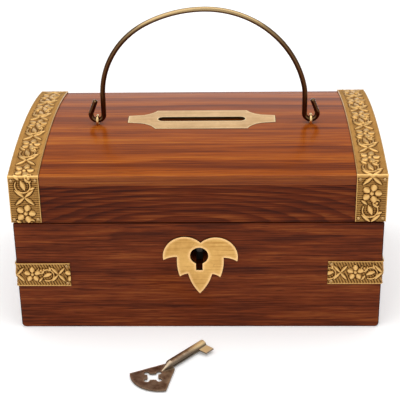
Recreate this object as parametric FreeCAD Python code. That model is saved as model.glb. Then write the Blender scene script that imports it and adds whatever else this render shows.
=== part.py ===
"""Wooden donation box: a small chest with a domed, slotted lid, a lock and a loose key.

Millimetres, +Z up. The origin is the middle of the underside. The front looks along -Y,
and +X is on the right of someone who faces the front.
"""
import FreeCAD
import Part
import math
import os

from FreeCAD import Vector

# Boards of the base
WIDTH = 152.0
DEPTH = 96.0
BASE_HEIGHT = 49.4
WALL = 9.0                # thickness of every wall board
CORNER_LAP = 4.5          # depth to which an end board is let into the front and back
BOTTOM_THICKNESS = 6.0
BOTTOM_REBATE = 4.5       # depth to which the bottom is let into the walls
EDGE_ROUND = 0.5          # sanded outer edges
FOOT_ROUND = 1.8          # lower edges of the two ends, worn rounder

# Boards of the lid
LID_GAP = 0.35            # shadow line between the two rims
LID_WALL_HEIGHT = 20.8    # from the lid's rim to the edge where the dome starts
PLANK_EDGE = 4.0          # upright edge of the domed plank
DOME_RISE = 5.1

# Coin slot and its inlaid plate
SLOT_X = 0.9
SLOT_Y = 0.8
SLOT_LENGTH = 38.0
SLOT_WIDTH = 4.8
PLATE_LENGTH = 64.0
PLATE_WIDTH = 21.0
PLATE_SHOULDER_X = 19.8   # from the plate's middle to the corner of its broad part
PLATE_NECK_X = 26.5       # from the plate's middle to the root of its end tab
PLATE_NECK_WIDTH = 9.2
PLATE_HOLLOW = (22.6, 6.7)  # point on the hollow curve from shoulder to neck
PLATE_END_WIDTH = 7.8
PLATE_THICKNESS = 1.2
PLATE_PROUD = 0.1
PLATE_GAP = 0.15          # round the plate in its seat

# Leaf-shaped escutcheon: points of its right half, from the key's axis
LEAF_X = 0.8
LEAF_TURN = 1.3           # degrees, clockwise from the front
LEAF_THICKNESS = 1.6
LEAF_PROUD = 0.6
LEAF_NOTCH = (0.0, 6.0)
LEAF_LOBE = (7.0, 8.6)
LEAF_TIP = (15.3, -2.3)
LEAF_TIP_UNDER = (12.3, -1.0)
LEAF_CREASE = (9.6, -0.7)
LEAF_FLANK = (9.5, -5.4)
LEAF_TOOTH = (8.4, -10.0)
LEAF_TOOTH_UNDER = (6.6, -8.9)
LEAF_CLEFT = (5.0, -8.5)
LEAF_POINT_FLANK = (3.0, -13.7)
LEAF_POINT = (0.0, -17.9)

# Keyhole
KEY_X = 0.3
KEY_DROP = 14.7           # from the base's rim to the key's axis
KEYHOLE_RADIUS = 3.8
KEYHOLE_SLOT_WIDTH = 2.8
KEYHOLE_SLOT_DROP = 6.8

# Bail handle, with the eye line as its axis
WIRE = 2.2
HANDLE_X = 2.0
EYE_Y = -3.8
EYE_SPAN = 92.0           # between the two eyes
EYE_HEIGHT = 1.6          # handle's axis above the dome
HOOK_RADIUS = 2.75
HOOK_TIP_RISE = 9.4
HOOK_TIP_OUT = 0.4        # tip of the hook, outward from the eye
LEG_RISE = 11.35          # height of the legs' upper ends
SHOULDER_LEFT = 35.7      # radius of the arch's left shoulder
SHOULDER_RIGHT = 18.0
CROWN_X = 0.9             # top of the arch, from the middle between the eyes
CROWN_RISE = 49.1

# Screw eyes
EYE_WIRE = 1.2
EYE_CLEARANCE = 0.3       # round the handle's wire
EYE_SHANK = 1.6
EYE_SHANK_DEPTH = 6.0

# Embossed brass sheet
SHEET = 0.8               # from the wood to the top of the embossing
STRAP_WIDTH = 12.6
STRAP_OVERHANG = 0.4      # beyond the lid's end
STRAP_LIFT = 0.6          # end of the strap, above the rim or the back bevel
BRACKET_LEG = 22.4
BRACKET_HEIGHT = 10.8
BRACKET_Z = 20.4          # lower edge of the left brackets
BRACKET_RIGHT_LIFT = 0.7  # by which the right brackets sit higher

# Escutcheon pins of the brass sheet
PIN_SHANK = 0.9
PIN_HEAD = 1.2
PIN_HEAD_HEIGHT = 0.25
PIN_LENGTH = 6.0
PIN_INSET = 1.4           # from the sheet's edge to the pin

# Butt hinges and the bevels that stop the lid
HINGE_FROM_END = 32.0     # from the box's end to the hinge's middle
HINGE_LENGTH = 20.0
HINGE_LEAF = 6.8          # from the pin to the leaf's edge
HINGE_LEAF_THICKNESS = 1.0
HINGE_INSET = 1.9         # from the back face to the pin
KNUCKLE_RADIUS = 1.7
KNUCKLE_GAP = 0.2         # between neighbouring knuckles
KNUCKLE_ROOM = 0.25       # round a knuckle, in the wood and in the other leaf
HINGE_PIN = 1.5
HINGE_FIT = 0.05          # running clearance of the lid's knuckle
LID_OPEN = 110.0          # degrees at which the bevels meet
STOP_EASE = 1.5           # degrees left open between each bevel and the stop

# Wood screws of the hinges, lock and strike
SCREW_SHANK = 1.5
SCREW_HEAD = 2.8
SCREW_HEAD_HEIGHT = 0.8
SCREW_LENGTH = 6.0
SCREW_SLOT = 0.45
SCREW_INSET = 2.6         # from a plate's edge to its screws
SCREW_TIP = 1.2           # length of a screw's or nail's point

# Nails of the bottom
NAIL_SHANK = 1.2
NAIL_HEAD = 2.6
NAIL_HEAD_HEIGHT = 0.6
NAIL_LENGTH = 16.0
NAIL_FROM_END = 32.0

# Box lock
LOCK_PLATE_WIDTH = 48.0
LOCK_PLATE_HEIGHT = 24.0
LOCK_PLATE_DROP = 1.0     # below the base's rim
LOCK_PLATE_THICKNESS = 1.2
LOCK_CASE_WIDTH = 36.0
LOCK_CASE_DROP = 2.0      # below the base's rim
LOCK_CASE_HEIGHT = 22.0
LOCK_CASE_DEPTH = 9.0
LOCK_CASE_SHEET = 0.8
DRILL_PIN = 2.4
DRILL_PIN_REACH = 4.0     # into the front board's keyhole

# Bolt, drawn back, and its guides
BOLT_HEIGHT = 5.0
BOLT_THICKNESS = 2.8
BOLT_THROW = 5.0
BOLT_TAIL = 16.0          # from the key's axis to the bolt's tail
BOLT_LIFT = 5.0           # from the key's axis to the bolt's underside
BOLT_CLEARANCE = 0.4      # in the strike's hole and round the guides
TALON_WIDTH = 2.0
TALON_DEPTH = 1.8
GUIDE = 1.6
GUIDE_SPREAD = 7.5        # from the key's axis to each guide
SPRING_THICKNESS = 0.4
SPRING_HALF = 8.0
SPRING_GAP = 0.2          # between spring and bolt

# Strike plate on the lid
STRIKE_WIDTH = 34.0
STRIKE_HEIGHT = 10.0
STRIKE_THICKNESS = 1.2
STRIKE_LIFT = 0.5         # above the lid's rim
TAB_X = 11.0              # from the key's axis
TAB_DEPTH = 6.0           # front to back
TAB_DROP = 11.2           # below the base's rim
TAB_ROOT = 4.5            # height of the tab on the strike
TAB_SWING = 1.0           # room in front of the tab for the lid's arc
TAB_CLEARANCE = 0.5       # round the tab in the lock

# Loose key, rolled from sheet
KEY_SHEET = 0.6
KEY_BORE_CLEARANCE = 0.1
KEY_SHANK_LENGTH = 20.0
KEY_SEAM = 0.5
KEY_BOW_LENGTH = 18.0     # from the neck to the middle of the bow's round end
KEY_BOW_CORNER = (13.6, 9.5)  # corner of the bow, back from the neck and to the side
KEY_BOW_NECK = 2.7        # half-width of the bow at the neck
KEY_BOW_SKEW = 3.8        # degrees by which the bow is bent off the shank's line
KEY_BOW_LIFT = 0.5        # bow's underside above the shank's
KEY_BOW_EYE = 9.7         # from the neck to the middle of the piercing
KEY_BOW_LOBE = 4.6        # from the piercing's middle to the ends of its lobes
KEY_BOW_WAIST = 2.1       # from the piercing's middle to its hollow sides
KEY_LOBE_RADIUS = 1.1
KEY_FLARE = 5.0           # length over which the shank runs out on the bow
KEY_BIT_REACH = 5.8       # from the shank's axis
KEY_BIT_WIDTH = 4.6
KEY_NECK = (-11.3, -79.5)
KEY_TURN = 49.0           # degrees from +X to the shank

# Places that follow from the sizes above
SIDE = WIDTH / 2
FRONT = -DEPTH / 2
BACK = DEPTH / 2
INNER_SIDE = SIDE - WALL
INNER_FRONT = FRONT + WALL
INNER_BACK = BACK - WALL
LID_RIM = BASE_HEIGHT + LID_GAP
DOME_EDGE = LID_RIM + LID_WALL_HEIGHT
PLANK_UNDER = DOME_EDGE - PLANK_EDGE
DOME_TOP = DOME_EDGE + DOME_RISE
DOME_RADIUS = (BACK ** 2 + DOME_RISE ** 2) / (2 * DOME_RISE)
DOME_CENTRE = DOME_TOP - DOME_RADIUS
HINGE_X = SIDE - HINGE_FROM_END
NAIL_X = SIDE - NAIL_FROM_END
HINGE_Y = BACK - HINGE_INSET
HINGE_Z = BASE_HEIGHT + LID_GAP / 2
BEVEL = math.radians(LID_OPEN / 2 + STOP_EASE)
BEVEL_RISE = HINGE_INSET * math.tan(BEVEL)
KEY_Z = BASE_HEIGHT - KEY_DROP
LOCK_BACK = INNER_FRONT + LOCK_PLATE_THICKNESS
TAB_FRONT = LOCK_BACK + TAB_SWING
BOLT_Y = TAB_FRONT + (TAB_DEPTH - BOLT_THICKNESS) / 2
BOLT_Z = KEY_Z + BOLT_LIFT
BOLT_NOSE = TAB_X - STRIKE_THICKNESS / 2 - TAB_CLEARANCE - BOLT_CLEARANCE
CASE_TOP = BASE_HEIGHT - LOCK_CASE_DROP
CASE_ROOF = CASE_TOP - LOCK_CASE_SHEET
KEY_BARREL = DRILL_PIN / 2 + KEY_BORE_CLEARANCE + KEY_SHEET
REACH = WIDTH             # longer than any cut that runs right through


def block(x, y, z):
    """Return a box between the given (low, high) pairs."""
    return Part.makeBox(x[1] - x[0], y[1] - y[0], z[1] - z[0], Vector(x[0], y[0], z[0]))


def rod(start, direction, radius, length):
    """Return a round bar from a point along a direction."""
    return Part.makeCylinder(radius, length, Vector(*start), Vector(*direction))


def polygon_prism(points, along):
    """Return the closed outline of 3-D points, pushed along a vector."""
    corners = [Vector(*point) for point in points]
    return Part.Face(Part.makePolygon(corners + corners[:1])).extrude(Vector(*along))


def arc(first, middle, last):
    """Return the circular edge through three points."""
    return Part.Arc(Vector(*first), Vector(*middle), Vector(*last)).toShape()


def line(first, last):
    """Return the straight edge between two points."""
    return Part.makeLine(Vector(*first), Vector(*last))


def face_of(edges):
    """Return the flat face inside a closed run of edges."""
    return Part.Face(Part.Wire(Part.__sortEdges__(edges)))


def rounded(shape, radius, planes):
    """Round the straight edges that lie on two of the given planes.

    Each plane is a pair: the axis number and the place along that axis.
    """
    def on(edge, axis, place):
        return all(abs(vertex.Point[axis] - place) < 1e-6 for vertex in edge.Vertexes)

    edges = [edge for edge in shape.Edges if sum(on(edge, *plane) for plane in planes) == 2]
    return shape.makeFillet(radius, edges)


def turned(profile, point, direction):
    """Spin a profile of (radius, depth) points, and set it at a point along a direction."""
    face = Part.Face(Part.makePolygon([Vector(r, 0, d) for r, d in profile + profile[:1]]))
    solid = face.revolve(Vector(0, 0, 0), Vector(0, 0, 1), 360)
    rotation = FreeCAD.Rotation(Vector(0, 0, 1), Vector(*direction))
    solid.Placement = FreeCAD.Placement(Vector(*point), rotation)
    return solid


def escutcheon_pin(point, direction):
    """Return a small domed pin whose head rests on the point."""
    crown = PIN_HEAD / 2 - PIN_HEAD_HEIGHT
    return turned([(0, -PIN_HEAD_HEIGHT), (crown, -PIN_HEAD_HEIGHT), (PIN_HEAD / 2, 0),
                   (PIN_SHANK / 2, 0), (PIN_SHANK / 2, PIN_LENGTH - PIN_SHANK),
                   (0, PIN_LENGTH)], point, direction)


def sunk_screw(point, direction):
    """Return a countersunk wood screw, without its slot, flush at the point."""
    return turned([(0, 0), (SCREW_HEAD / 2, 0), (SCREW_SHANK / 2, SCREW_HEAD_HEIGHT),
                   (SCREW_SHANK / 2, SCREW_LENGTH - SCREW_TIP), (0, SCREW_LENGTH)],
                  point, direction)


def slotted(screw, point, direction):
    """Cut the driver slot across the head of a sunk screw."""
    depth = SCREW_HEAD_HEIGHT / 2
    slot = Part.makeBox(SCREW_HEAD, SCREW_SLOT, depth, Vector(-SCREW_HEAD / 2, -SCREW_SLOT / 2, 0))
    rotation = FreeCAD.Rotation(Vector(0, 0, 1), Vector(*direction))
    slot.Placement = FreeCAD.Placement(Vector(*point), rotation)
    return screw.cut(slot)


def flat_nail(point):
    """Return a nail driven upward, with its flat head flush at the point."""
    return turned([(0, 0), (NAIL_HEAD / 2, 0), (NAIL_HEAD / 2, NAIL_HEAD_HEIGHT),
                   (NAIL_SHANK / 2, NAIL_HEAD_HEIGHT), (NAIL_SHANK / 2, NAIL_LENGTH - SCREW_TIP),
                   (0, NAIL_LENGTH)], point, (0, 0, 1))


def dome_height(y, above=0.0):
    """Return the height of the dome, or of a shell above it, at a depth y."""
    return DOME_CENTRE + math.sqrt((DOME_RADIUS + above) ** 2 - y ** 2)


def dome_section(x, under, above=0.0, margin=0.0):
    """Return the lid's cross-section from a height up to a shell above the dome."""
    front = FRONT - margin
    back = BACK + margin
    edge = dome_height(back, above)
    return face_of([line((x, front, under), (x, back, under)),
                    line((x, back, under), (x, back, edge)),
                    arc((x, back, edge), (x, 0, DOME_TOP + above), (x, front, edge)),
                    line((x, front, edge), (x, front, under))])


# Base boards

def base_bottom():
    """Return the bottom board, flush with the lower edges of the walls."""
    half_x = INNER_SIDE + BOTTOM_REBATE
    half_y = INNER_BACK + BOTTOM_REBATE
    return block((-half_x, half_x), (-half_y, half_y), (0, BOTTOM_THICKNESS))


def long_wall(y, z):
    """Return a front or back board with laps for the end boards, given its depth and height."""
    wall = block((-SIDE, SIDE), y, z)
    return wall.cut([end_wall(side, z) for side in (-1, 1)])


def end_wall(side, z):
    """Return a left (-1) or right (1) end board."""
    x = sorted((side * INNER_SIDE, side * SIDE))
    return block(x, (INNER_FRONT - CORNER_LAP, INNER_BACK + CORNER_LAP), z)


def base_walls(bottom):
    """Return the four base walls, rounded outside and rebated for the bottom."""
    height = (0, BASE_HEIGHT)
    outside = [(0, -SIDE), (0, SIDE), (1, FRONT), (1, BACK), (2, 0), (2, BASE_HEIGHT)]
    walls = {"base_front": long_wall((FRONT, INNER_FRONT), height),
             "base_back": long_wall((INNER_BACK, BACK), height),
             "base_left": end_wall(-1, height),
             "base_right": end_wall(1, height)}
    ends = [(0, -SIDE), (0, SIDE), (2, 0)]
    worn = {name: rounded(wall, FOOT_ROUND, ends) for name, wall in walls.items()}
    return {name: rounded(wall, EDGE_ROUND, outside).cut(bottom) for name, wall in worn.items()}


# Lid boards

def lid_walls():
    """Return the four low walls under the domed plank."""
    height = (LID_RIM, PLANK_UNDER)
    outside = [(0, -SIDE), (0, SIDE), (1, FRONT), (1, BACK), (2, LID_RIM)]
    walls = {"lid_front": long_wall((FRONT, INNER_FRONT), height),
             "lid_back": long_wall((INNER_BACK, BACK), height),
             "lid_left": end_wall(-1, height),
             "lid_right": end_wall(1, height)}
    return {name: rounded(wall, EDGE_ROUND, outside) for name, wall in walls.items()}


def lid_plank():
    """Return the domed plank with rounded edges, before its slot and inlay are cut."""
    plank = dome_section(-SIDE, PLANK_UNDER).extrude(Vector(WIDTH, 0, 0))
    edges = [(0, -SIDE), (0, SIDE), (1, FRONT), (1, BACK), (2, DOME_EDGE)]
    return rounded(plank, EDGE_ROUND, edges)


def slot_cutter():
    """Return the coin slot, with round ends, right through the lid."""
    radius = SLOT_WIDTH / 2
    half = SLOT_LENGTH / 2 - radius
    low = PLANK_UNDER - WALL
    height = DOME_TOP + WALL - low
    ends = [rod((SLOT_X + x, SLOT_Y, low), (0, 0, 1), radius, height) for x in (-half, half)]
    middle = block((SLOT_X - half, SLOT_X + half), (SLOT_Y - radius, SLOT_Y + radius),
                   (low, low + height))
    return middle.fuse(ends).removeSplitter()


def plate_quarter(along, across, grow):
    """Return the edges of one quarter of the slot plate's outline, grown outward.

    The signs say which quarter. The shoulder is an arc that runs into the end tab.
    """
    def at(x, y):
        return (SLOT_X + along * x, SLOT_Y + across * (y + grow), PLANK_UNDER)

    end = PLATE_LENGTH / 2 + grow
    shoulder = (PLATE_SHOULDER_X, PLATE_WIDTH / 2)
    neck = (PLATE_NECK_X, PLATE_NECK_WIDTH / 2)
    tab = PLATE_END_WIDTH / 2
    return [line(at(0, shoulder[1]), at(*shoulder)),
            arc(at(*shoulder), at(*PLATE_HOLLOW), at(*neck)),
            line(at(*neck), at(end, tab)),
            line(at(end, tab), at(end, -grow))]


def slot_plate_blank(grow=0.0):
    """Return the inlaid plate before its slot is cut: a shell that follows the dome.

    A grown plate is the cutter for the plate's seat.
    """
    edges = []
    for along, across in ((1, 1), (1, -1), (-1, -1), (-1, 1)):
        edges += plate_quarter(along, across, grow)
    column = face_of(edges).extrude(Vector(0, 0, REACH))
    shell = dome_section(-SIDE, PLANK_UNDER, PLATE_PROUD).extrude(Vector(WIDTH, 0, 0))
    below = dome_section(-SIDE, PLANK_UNDER, PLATE_PROUD - PLATE_THICKNESS)
    return column.common(shell.cut(below.extrude(Vector(WIDTH, 0, 0))))


# Escutcheon and keyhole

def leaf_half(side, y):
    """Return the edges of one half of the leaf's outline, at the depth y."""
    def at(point):
        return (LEAF_X + side * point[0], y, KEY_Z + point[1])

    runs = [(LEAF_NOTCH, LEAF_LOBE, LEAF_TIP),
            (LEAF_TIP, LEAF_TIP_UNDER, LEAF_CREASE),
            (LEAF_CREASE, LEAF_FLANK, LEAF_TOOTH),
            (LEAF_TOOTH, LEAF_TOOTH_UNDER, LEAF_CLEFT),
            (LEAF_CLEFT, LEAF_POINT_FLANK, LEAF_POINT)]
    return [arc(at(first), at(middle), at(last)) for first, middle, last in runs]


def leaf_blank():
    """Return the leaf plate, before the keyhole is cut."""
    y = FRONT - LEAF_PROUD
    leaf = face_of(leaf_half(1, y) + leaf_half(-1, y)).extrude(Vector(0, LEAF_THICKNESS, 0))
    leaf.rotate(Vector(LEAF_X, y, KEY_Z), Vector(0, 1, 0), LEAF_TURN)
    return leaf


def keyhole_cutter(start, end):
    """Return the keyhole between two depths: a round hole over an upright slot."""
    half = KEYHOLE_SLOT_WIDTH / 2
    hole = rod((KEY_X, start, KEY_Z), (0, 1, 0), KEYHOLE_RADIUS, end - start)
    slot = block((KEY_X - half, KEY_X + half), (start, end), (KEY_Z - KEYHOLE_SLOT_DROP, KEY_Z))
    return hole.fuse(slot).removeSplitter()


# Handle

def handle_axis_z():
    """Return the height of the handle's axis."""
    return dome_height(EYE_Y) + EYE_HEIGHT


def hook_tangent():
    """Return where the straight tip leaves the hook's circle, from the eye (out, up)."""
    out = HOOK_TIP_OUT
    up = HOOK_TIP_RISE - HOOK_RADIUS
    lean = math.atan2(up, out) - math.acos(HOOK_RADIUS / math.hypot(out, up))
    return (HOOK_RADIUS * math.cos(lean), HOOK_RADIUS + HOOK_RADIUS * math.sin(lean))


def polar(centre, radius, angle):
    """Return the point at an angle on a circle, as (out, up)."""
    return (centre[0] + radius * math.cos(angle), centre[1] + radius * math.sin(angle))


def handle_half(side, shoulder):
    """Return the edges of one half of the bent wire, from the hook's tip to the crown's top.

    The shoulder's arc starts on the upright leg and touches the crown's wider arc.
    """
    eye = EYE_SPAN / 2
    leg = eye - HOOK_RADIUS
    top = (side * CROWN_X, CROWN_RISE)
    tangent = hook_tangent()
    centre = (leg - shoulder, LEG_RISE)
    aside = centre[0] - top[0]
    below = centre[1] - top[1]
    crown = (shoulder ** 2 - aside ** 2 - below ** 2) / (2 * (below + shoulder))
    crown_centre = (top[0], top[1] - crown)
    join = math.atan2(centre[1] - crown_centre[1], aside)

    def at(point):
        return (HANDLE_X + side * point[0], EYE_Y, handle_axis_z() + point[1])

    tip_end = at((eye + tangent[0], tangent[1]))
    shoulder_end = at(polar(centre, shoulder, join))
    return [line(at((eye + HOOK_TIP_OUT, HOOK_TIP_RISE)), tip_end),
            arc(tip_end, at((eye, 0)), at((leg, HOOK_RADIUS))),
            line(at((leg, HOOK_RADIUS)), at((leg, LEG_RISE))),
            arc(at((leg, LEG_RISE)), at(polar(centre, shoulder, join / 2)), shoulder_end),
            arc(shoulder_end, at(polar(crown_centre, crown, (join + math.pi / 2) / 2)), at(top))]


def bail_handle():
    """Return the bent wire: a flattened arch on two legs, each ending in a hook."""
    right = handle_half(1, SHOULDER_RIGHT)
    left = handle_half(-1, SHOULDER_LEFT)
    path = Part.Wire(right + left[::-1])
    tip = right[0]
    start = tip.Vertexes[0].Point
    section = Part.Wire(Part.makeCircle(WIRE / 2, start, tip.Vertexes[1].Point - start))
    return path.makePipeShell([section], True, False)


def screw_eye(side):
    """Return one screw eye: a ring round the handle's axis on a shank in the plank."""
    x = HANDLE_X + side * EYE_SPAN / 2
    z = handle_axis_z()
    radius = WIRE / 2 + EYE_CLEARANCE + EYE_WIRE / 2
    ring = Part.makeTorus(radius, EYE_WIRE / 2, Vector(x, EYE_Y, z), Vector(1, 0, 0))
    top = z - radius
    shank = rod((x, EYE_Y, top), (0, 0, -1), EYE_SHANK / 2, EYE_SHANK_DEPTH)
    return ring.fuse(shank)


# Embossed straps and brackets

def strap_blank(side):
    """Return one lid strap: sheet up the front, over the dome and down the back."""
    x = sorted((side * (SIDE + STRAP_OVERHANG), side * (SIDE + STRAP_OVERHANG - STRAP_WIDTH)))
    outer = dome_section(x[0], LID_RIM + STRAP_LIFT, SHEET, SHEET)
    inner = dome_section(x[0], LID_RIM)
    strap = outer.cut(inner).extrude(Vector(STRAP_WIDTH, 0, 0))
    bevel_end = HINGE_Z + BEVEL_RISE + STRAP_LIFT
    return strap.cut(block(x, (0, BACK + WALL), (LID_RIM, bevel_end)))


def strap_pins(side):
    """Return the pins of one lid strap: pairs at its ends and just below both folds."""
    outer_x = SIDE + STRAP_OVERHANG - PIN_INSET
    inner_x = SIDE + STRAP_OVERHANG - STRAP_WIDTH + PIN_INSET
    low = LID_RIM + STRAP_LIFT + PIN_INSET
    back_low = HINGE_Z + BEVEL_RISE + STRAP_LIFT + PIN_INSET
    fold = DOME_EDGE - PIN_INSET
    pins = []
    for x in (side * outer_x, side * inner_x):
        pins += [escutcheon_pin((x, FRONT - SHEET, z), (0, 1, 0)) for z in (low, fold)]
        pins += [escutcheon_pin((x, BACK + SHEET, z), (0, -1, 0)) for z in (back_low, fold)]
    return pins


def bracket_span(side):
    """Return the lower and upper edge of the left (-1) or right (1) brackets."""
    low = BRACKET_Z + (BRACKET_RIGHT_LIFT if side > 0 else 0.0)
    return (low, low + BRACKET_HEIGHT)


def bracket_blank(side, end):
    """Return one corner bracket, left or right (-1, 1) at the front or back (-1, 1)."""
    z = bracket_span(side)

    def post(grow):
        x = sorted((0, side * (SIDE + grow)))
        y = sorted((0, end * (BACK + grow)))
        corner = [(0, side * (SIDE + grow)), (1, end * (BACK + grow))]
        return rounded(block(x, y, z), EDGE_ROUND + grow, corner)

    x = sorted((side * (SIDE + SHEET), side * (SIDE - BRACKET_LEG)))
    y = sorted((end * (BACK + SHEET), end * (BACK - BRACKET_LEG)))
    return post(SHEET).cut(post(0.0)).common(block(x, y, z))


def bracket_pins(side, end):
    """Return the pins of one corner bracket: two at the end of each leg."""
    pins = []
    low, high = bracket_span(side)
    for z in (low + PIN_INSET, high - PIN_INSET):
        x = side * (SIDE - BRACKET_LEG + PIN_INSET)
        y = end * (BACK - BRACKET_LEG + PIN_INSET)
        pins.append(escutcheon_pin((x, end * (BACK + SHEET), z), (0, -end, 0)))
        pins.append(escutcheon_pin((side * (SIDE + SHEET), y, z), (-side, 0, 0)))
    return pins


# Hinges

def bevel_cutter(up):
    """Return the wedge taken off a back edge: the base's (up = -1) or the lid's (up = 1)."""
    far = HINGE_INSET + WALL
    rise = far * math.tan(BEVEL)
    points = [(-REACH, HINGE_Y, HINGE_Z), (-REACH, HINGE_Y + far, HINGE_Z + up * rise),
              (-REACH, HINGE_Y + far, HINGE_Z - up * WALL), (-REACH, HINGE_Y, HINGE_Z - up * WALL)]
    return polygon_prism(points, (2 * REACH, 0, 0))


def knuckle_spans(centre):
    """Return the X spans of the three knuckles: the outer two are the base leaf's."""
    start = centre - HINGE_LENGTH / 2
    third = (HINGE_LENGTH - 2 * KNUCKLE_GAP) / 3
    return [(start + i * (third + KNUCKLE_GAP), start + i * (third + KNUCKLE_GAP) + third)
            for i in range(3)]


def hinge_leaf(centre, up, bore):
    """Return one leaf with its knuckles: the base's (up = -1) or the lid's (up = 1)."""
    spans = knuckle_spans(centre)
    own = spans[1:2] if up > 0 else spans[0::2]
    others = spans[0::2] if up > 0 else spans[1:2]
    rim = HINGE_Z + up * LID_GAP / 2
    ends = (centre - HINGE_LENGTH / 2, centre + HINGE_LENGTH / 2)
    z = sorted((rim, rim + up * HINGE_LEAF_THICKNESS))
    leaf = block(ends, (HINGE_Y - HINGE_LEAF, HINGE_Y), z)
    knuckles = [rod((a, HINGE_Y, HINGE_Z), (1, 0, 0), KNUCKLE_RADIUS, b - a) for a, b in own]
    room = HINGE_Y - KNUCKLE_RADIUS - KNUCKLE_ROOM
    notches = [block((max(a - KNUCKLE_GAP, ends[0]), min(b + KNUCKLE_GAP, ends[1])),
                     (room, BACK), (HINGE_Z - WALL, HINGE_Z + WALL)) for a, b in others]
    pin_hole = rod((ends[0], HINGE_Y, HINGE_Z), (1, 0, 0), bore, HINGE_LENGTH)
    return leaf.cut(notches).fuse(knuckles).cut(pin_hole).removeSplitter()


def hinge_mortise(centre, up):
    """Return the wood taken out for one leaf and for the knuckles."""
    rim = HINGE_Z + up * LID_GAP / 2
    half = HINGE_LENGTH / 2
    z = sorted((rim, rim + up * HINGE_LEAF_THICKNESS))
    seat = block((centre - half, centre + half), (HINGE_Y - HINGE_LEAF, BACK + WALL), z)
    radius = KNUCKLE_RADIUS + KNUCKLE_ROOM
    start = (centre - half - KNUCKLE_GAP, HINGE_Y, HINGE_Z)
    return seat.fuse(rod(start, (1, 0, 0), radius, HINGE_LENGTH + 2 * KNUCKLE_GAP))


def hinge_screw_places(centre, up):
    """Return the (point, direction) pairs of one leaf's screws."""
    rim = HINGE_Z + up * LID_GAP / 2
    y = HINGE_Y - HINGE_LEAF + SCREW_INSET
    half = HINGE_LENGTH / 2 - SCREW_INSET
    return [((centre + x, y, rim), (0, 0, up)) for x in (-half, half)]


# Lock, bolt and strike

def lock_plate_blank():
    """Return the lock's mounting plate, before its keyhole and screw holes."""
    half = LOCK_PLATE_WIDTH / 2
    top = BASE_HEIGHT - LOCK_PLATE_DROP
    return block((KEY_X - half, KEY_X + half), (INNER_FRONT, LOCK_BACK),
                 (top - LOCK_PLATE_HEIGHT, top))


def lock_screw_places():
    """Return the (point, direction) pairs of the lock plate's four screws."""
    half = LOCK_PLATE_WIDTH / 2 - SCREW_INSET
    top = BASE_HEIGHT - LOCK_PLATE_DROP - SCREW_INSET
    low = top - LOCK_PLATE_HEIGHT + 2 * SCREW_INSET
    return [((KEY_X + x, LOCK_BACK, z), (0, -1, 0)) for x in (-half, half) for z in (low, top)]


def lock_case():
    """Return the folded cover of the lock, with the slot for the strike's tab in its top."""
    half = LOCK_CASE_WIDTH / 2
    sheet = LOCK_CASE_SHEET
    low = CASE_TOP - LOCK_CASE_HEIGHT
    case = block((KEY_X - half, KEY_X + half), (LOCK_BACK, LOCK_BACK + LOCK_CASE_DEPTH),
                 (low, CASE_TOP))
    inside = block((KEY_X - half + sheet, KEY_X + half - sheet),
                   (LOCK_BACK, LOCK_BACK + LOCK_CASE_DEPTH - sheet), (low + sheet, CASE_ROOF))
    reach = STRIKE_THICKNESS / 2 + TAB_CLEARANCE
    slot = block((KEY_X + TAB_X - reach, KEY_X + TAB_X + reach),
                 (LOCK_BACK, TAB_FRONT + TAB_DEPTH + TAB_CLEARANCE), (CASE_ROOF, CASE_TOP))
    return case.cut([inside, slot])


def drill_pin():
    """Return the pin on which the hollow key turns, fixed to the back of the case."""
    start = LOCK_BACK + LOCK_CASE_DEPTH - LOCK_CASE_SHEET
    length = start - INNER_FRONT + DRILL_PIN_REACH
    return rod((KEY_X, start, KEY_Z), (0, -1, 0), DRILL_PIN / 2, length)


def guide_places():
    """Return the X places of the bolt's two guides."""
    return [KEY_X - GUIDE_SPREAD, KEY_X + GUIDE_SPREAD]


def bolt_guides():
    """Return the two pins on the lock plate that carry the bolt."""
    z = BOLT_Z + BOLT_HEIGHT / 2
    length = BOLT_Y + BOLT_THICKNESS - LOCK_BACK
    return [rod((x, LOCK_BACK, z), (0, 1, 0), GUIDE / 2, length) for x in guide_places()]


def lock_bolt():
    """Return the sliding bolt, drawn back, with two guide slots and a notch for the bit."""
    y = (BOLT_Y, BOLT_Y + BOLT_THICKNESS)
    bolt = block((KEY_X - BOLT_TAIL, KEY_X + BOLT_NOSE), y, (BOLT_Z, BOLT_Z + BOLT_HEIGHT))
    reach = GUIDE / 2 + BOLT_CLEARANCE
    middle = BOLT_Z + BOLT_HEIGHT / 2
    cuts = [block((x - BOLT_THROW - reach, x + reach), y, (middle - reach, middle + reach))
            for x in guide_places()]
    talon = KEY_X - BOLT_THROW / 2
    cuts.append(block((talon - TALON_WIDTH / 2, talon + TALON_WIDTH / 2), y,
                      (BOLT_Z, BOLT_Z + TALON_DEPTH)))
    return bolt.cut(cuts)


def bolt_spring():
    """Return the bowed leaf spring between the top of the case and the bolt."""
    belly = BOLT_Z + BOLT_HEIGHT + SPRING_GAP
    bow = CASE_ROOF - SPRING_THICKNESS - belly
    radius = (SPRING_HALF ** 2 + bow ** 2) / (2 * bow)
    centre = (KEY_X - SPRING_HALF / 2, BOLT_Y, belly + radius)
    length = (0, 1, 0)
    outer = rod(centre, length, radius, BOLT_THICKNESS)
    inner = rod(centre, length, radius - SPRING_THICKNESS, BOLT_THICKNESS)
    span = block((centre[0] - SPRING_HALF, centre[0] + SPRING_HALF),
                 (BOLT_Y, BOLT_Y + BOLT_THICKNESS), (belly, CASE_ROOF))
    return outer.cut(inner).common(span)


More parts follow.
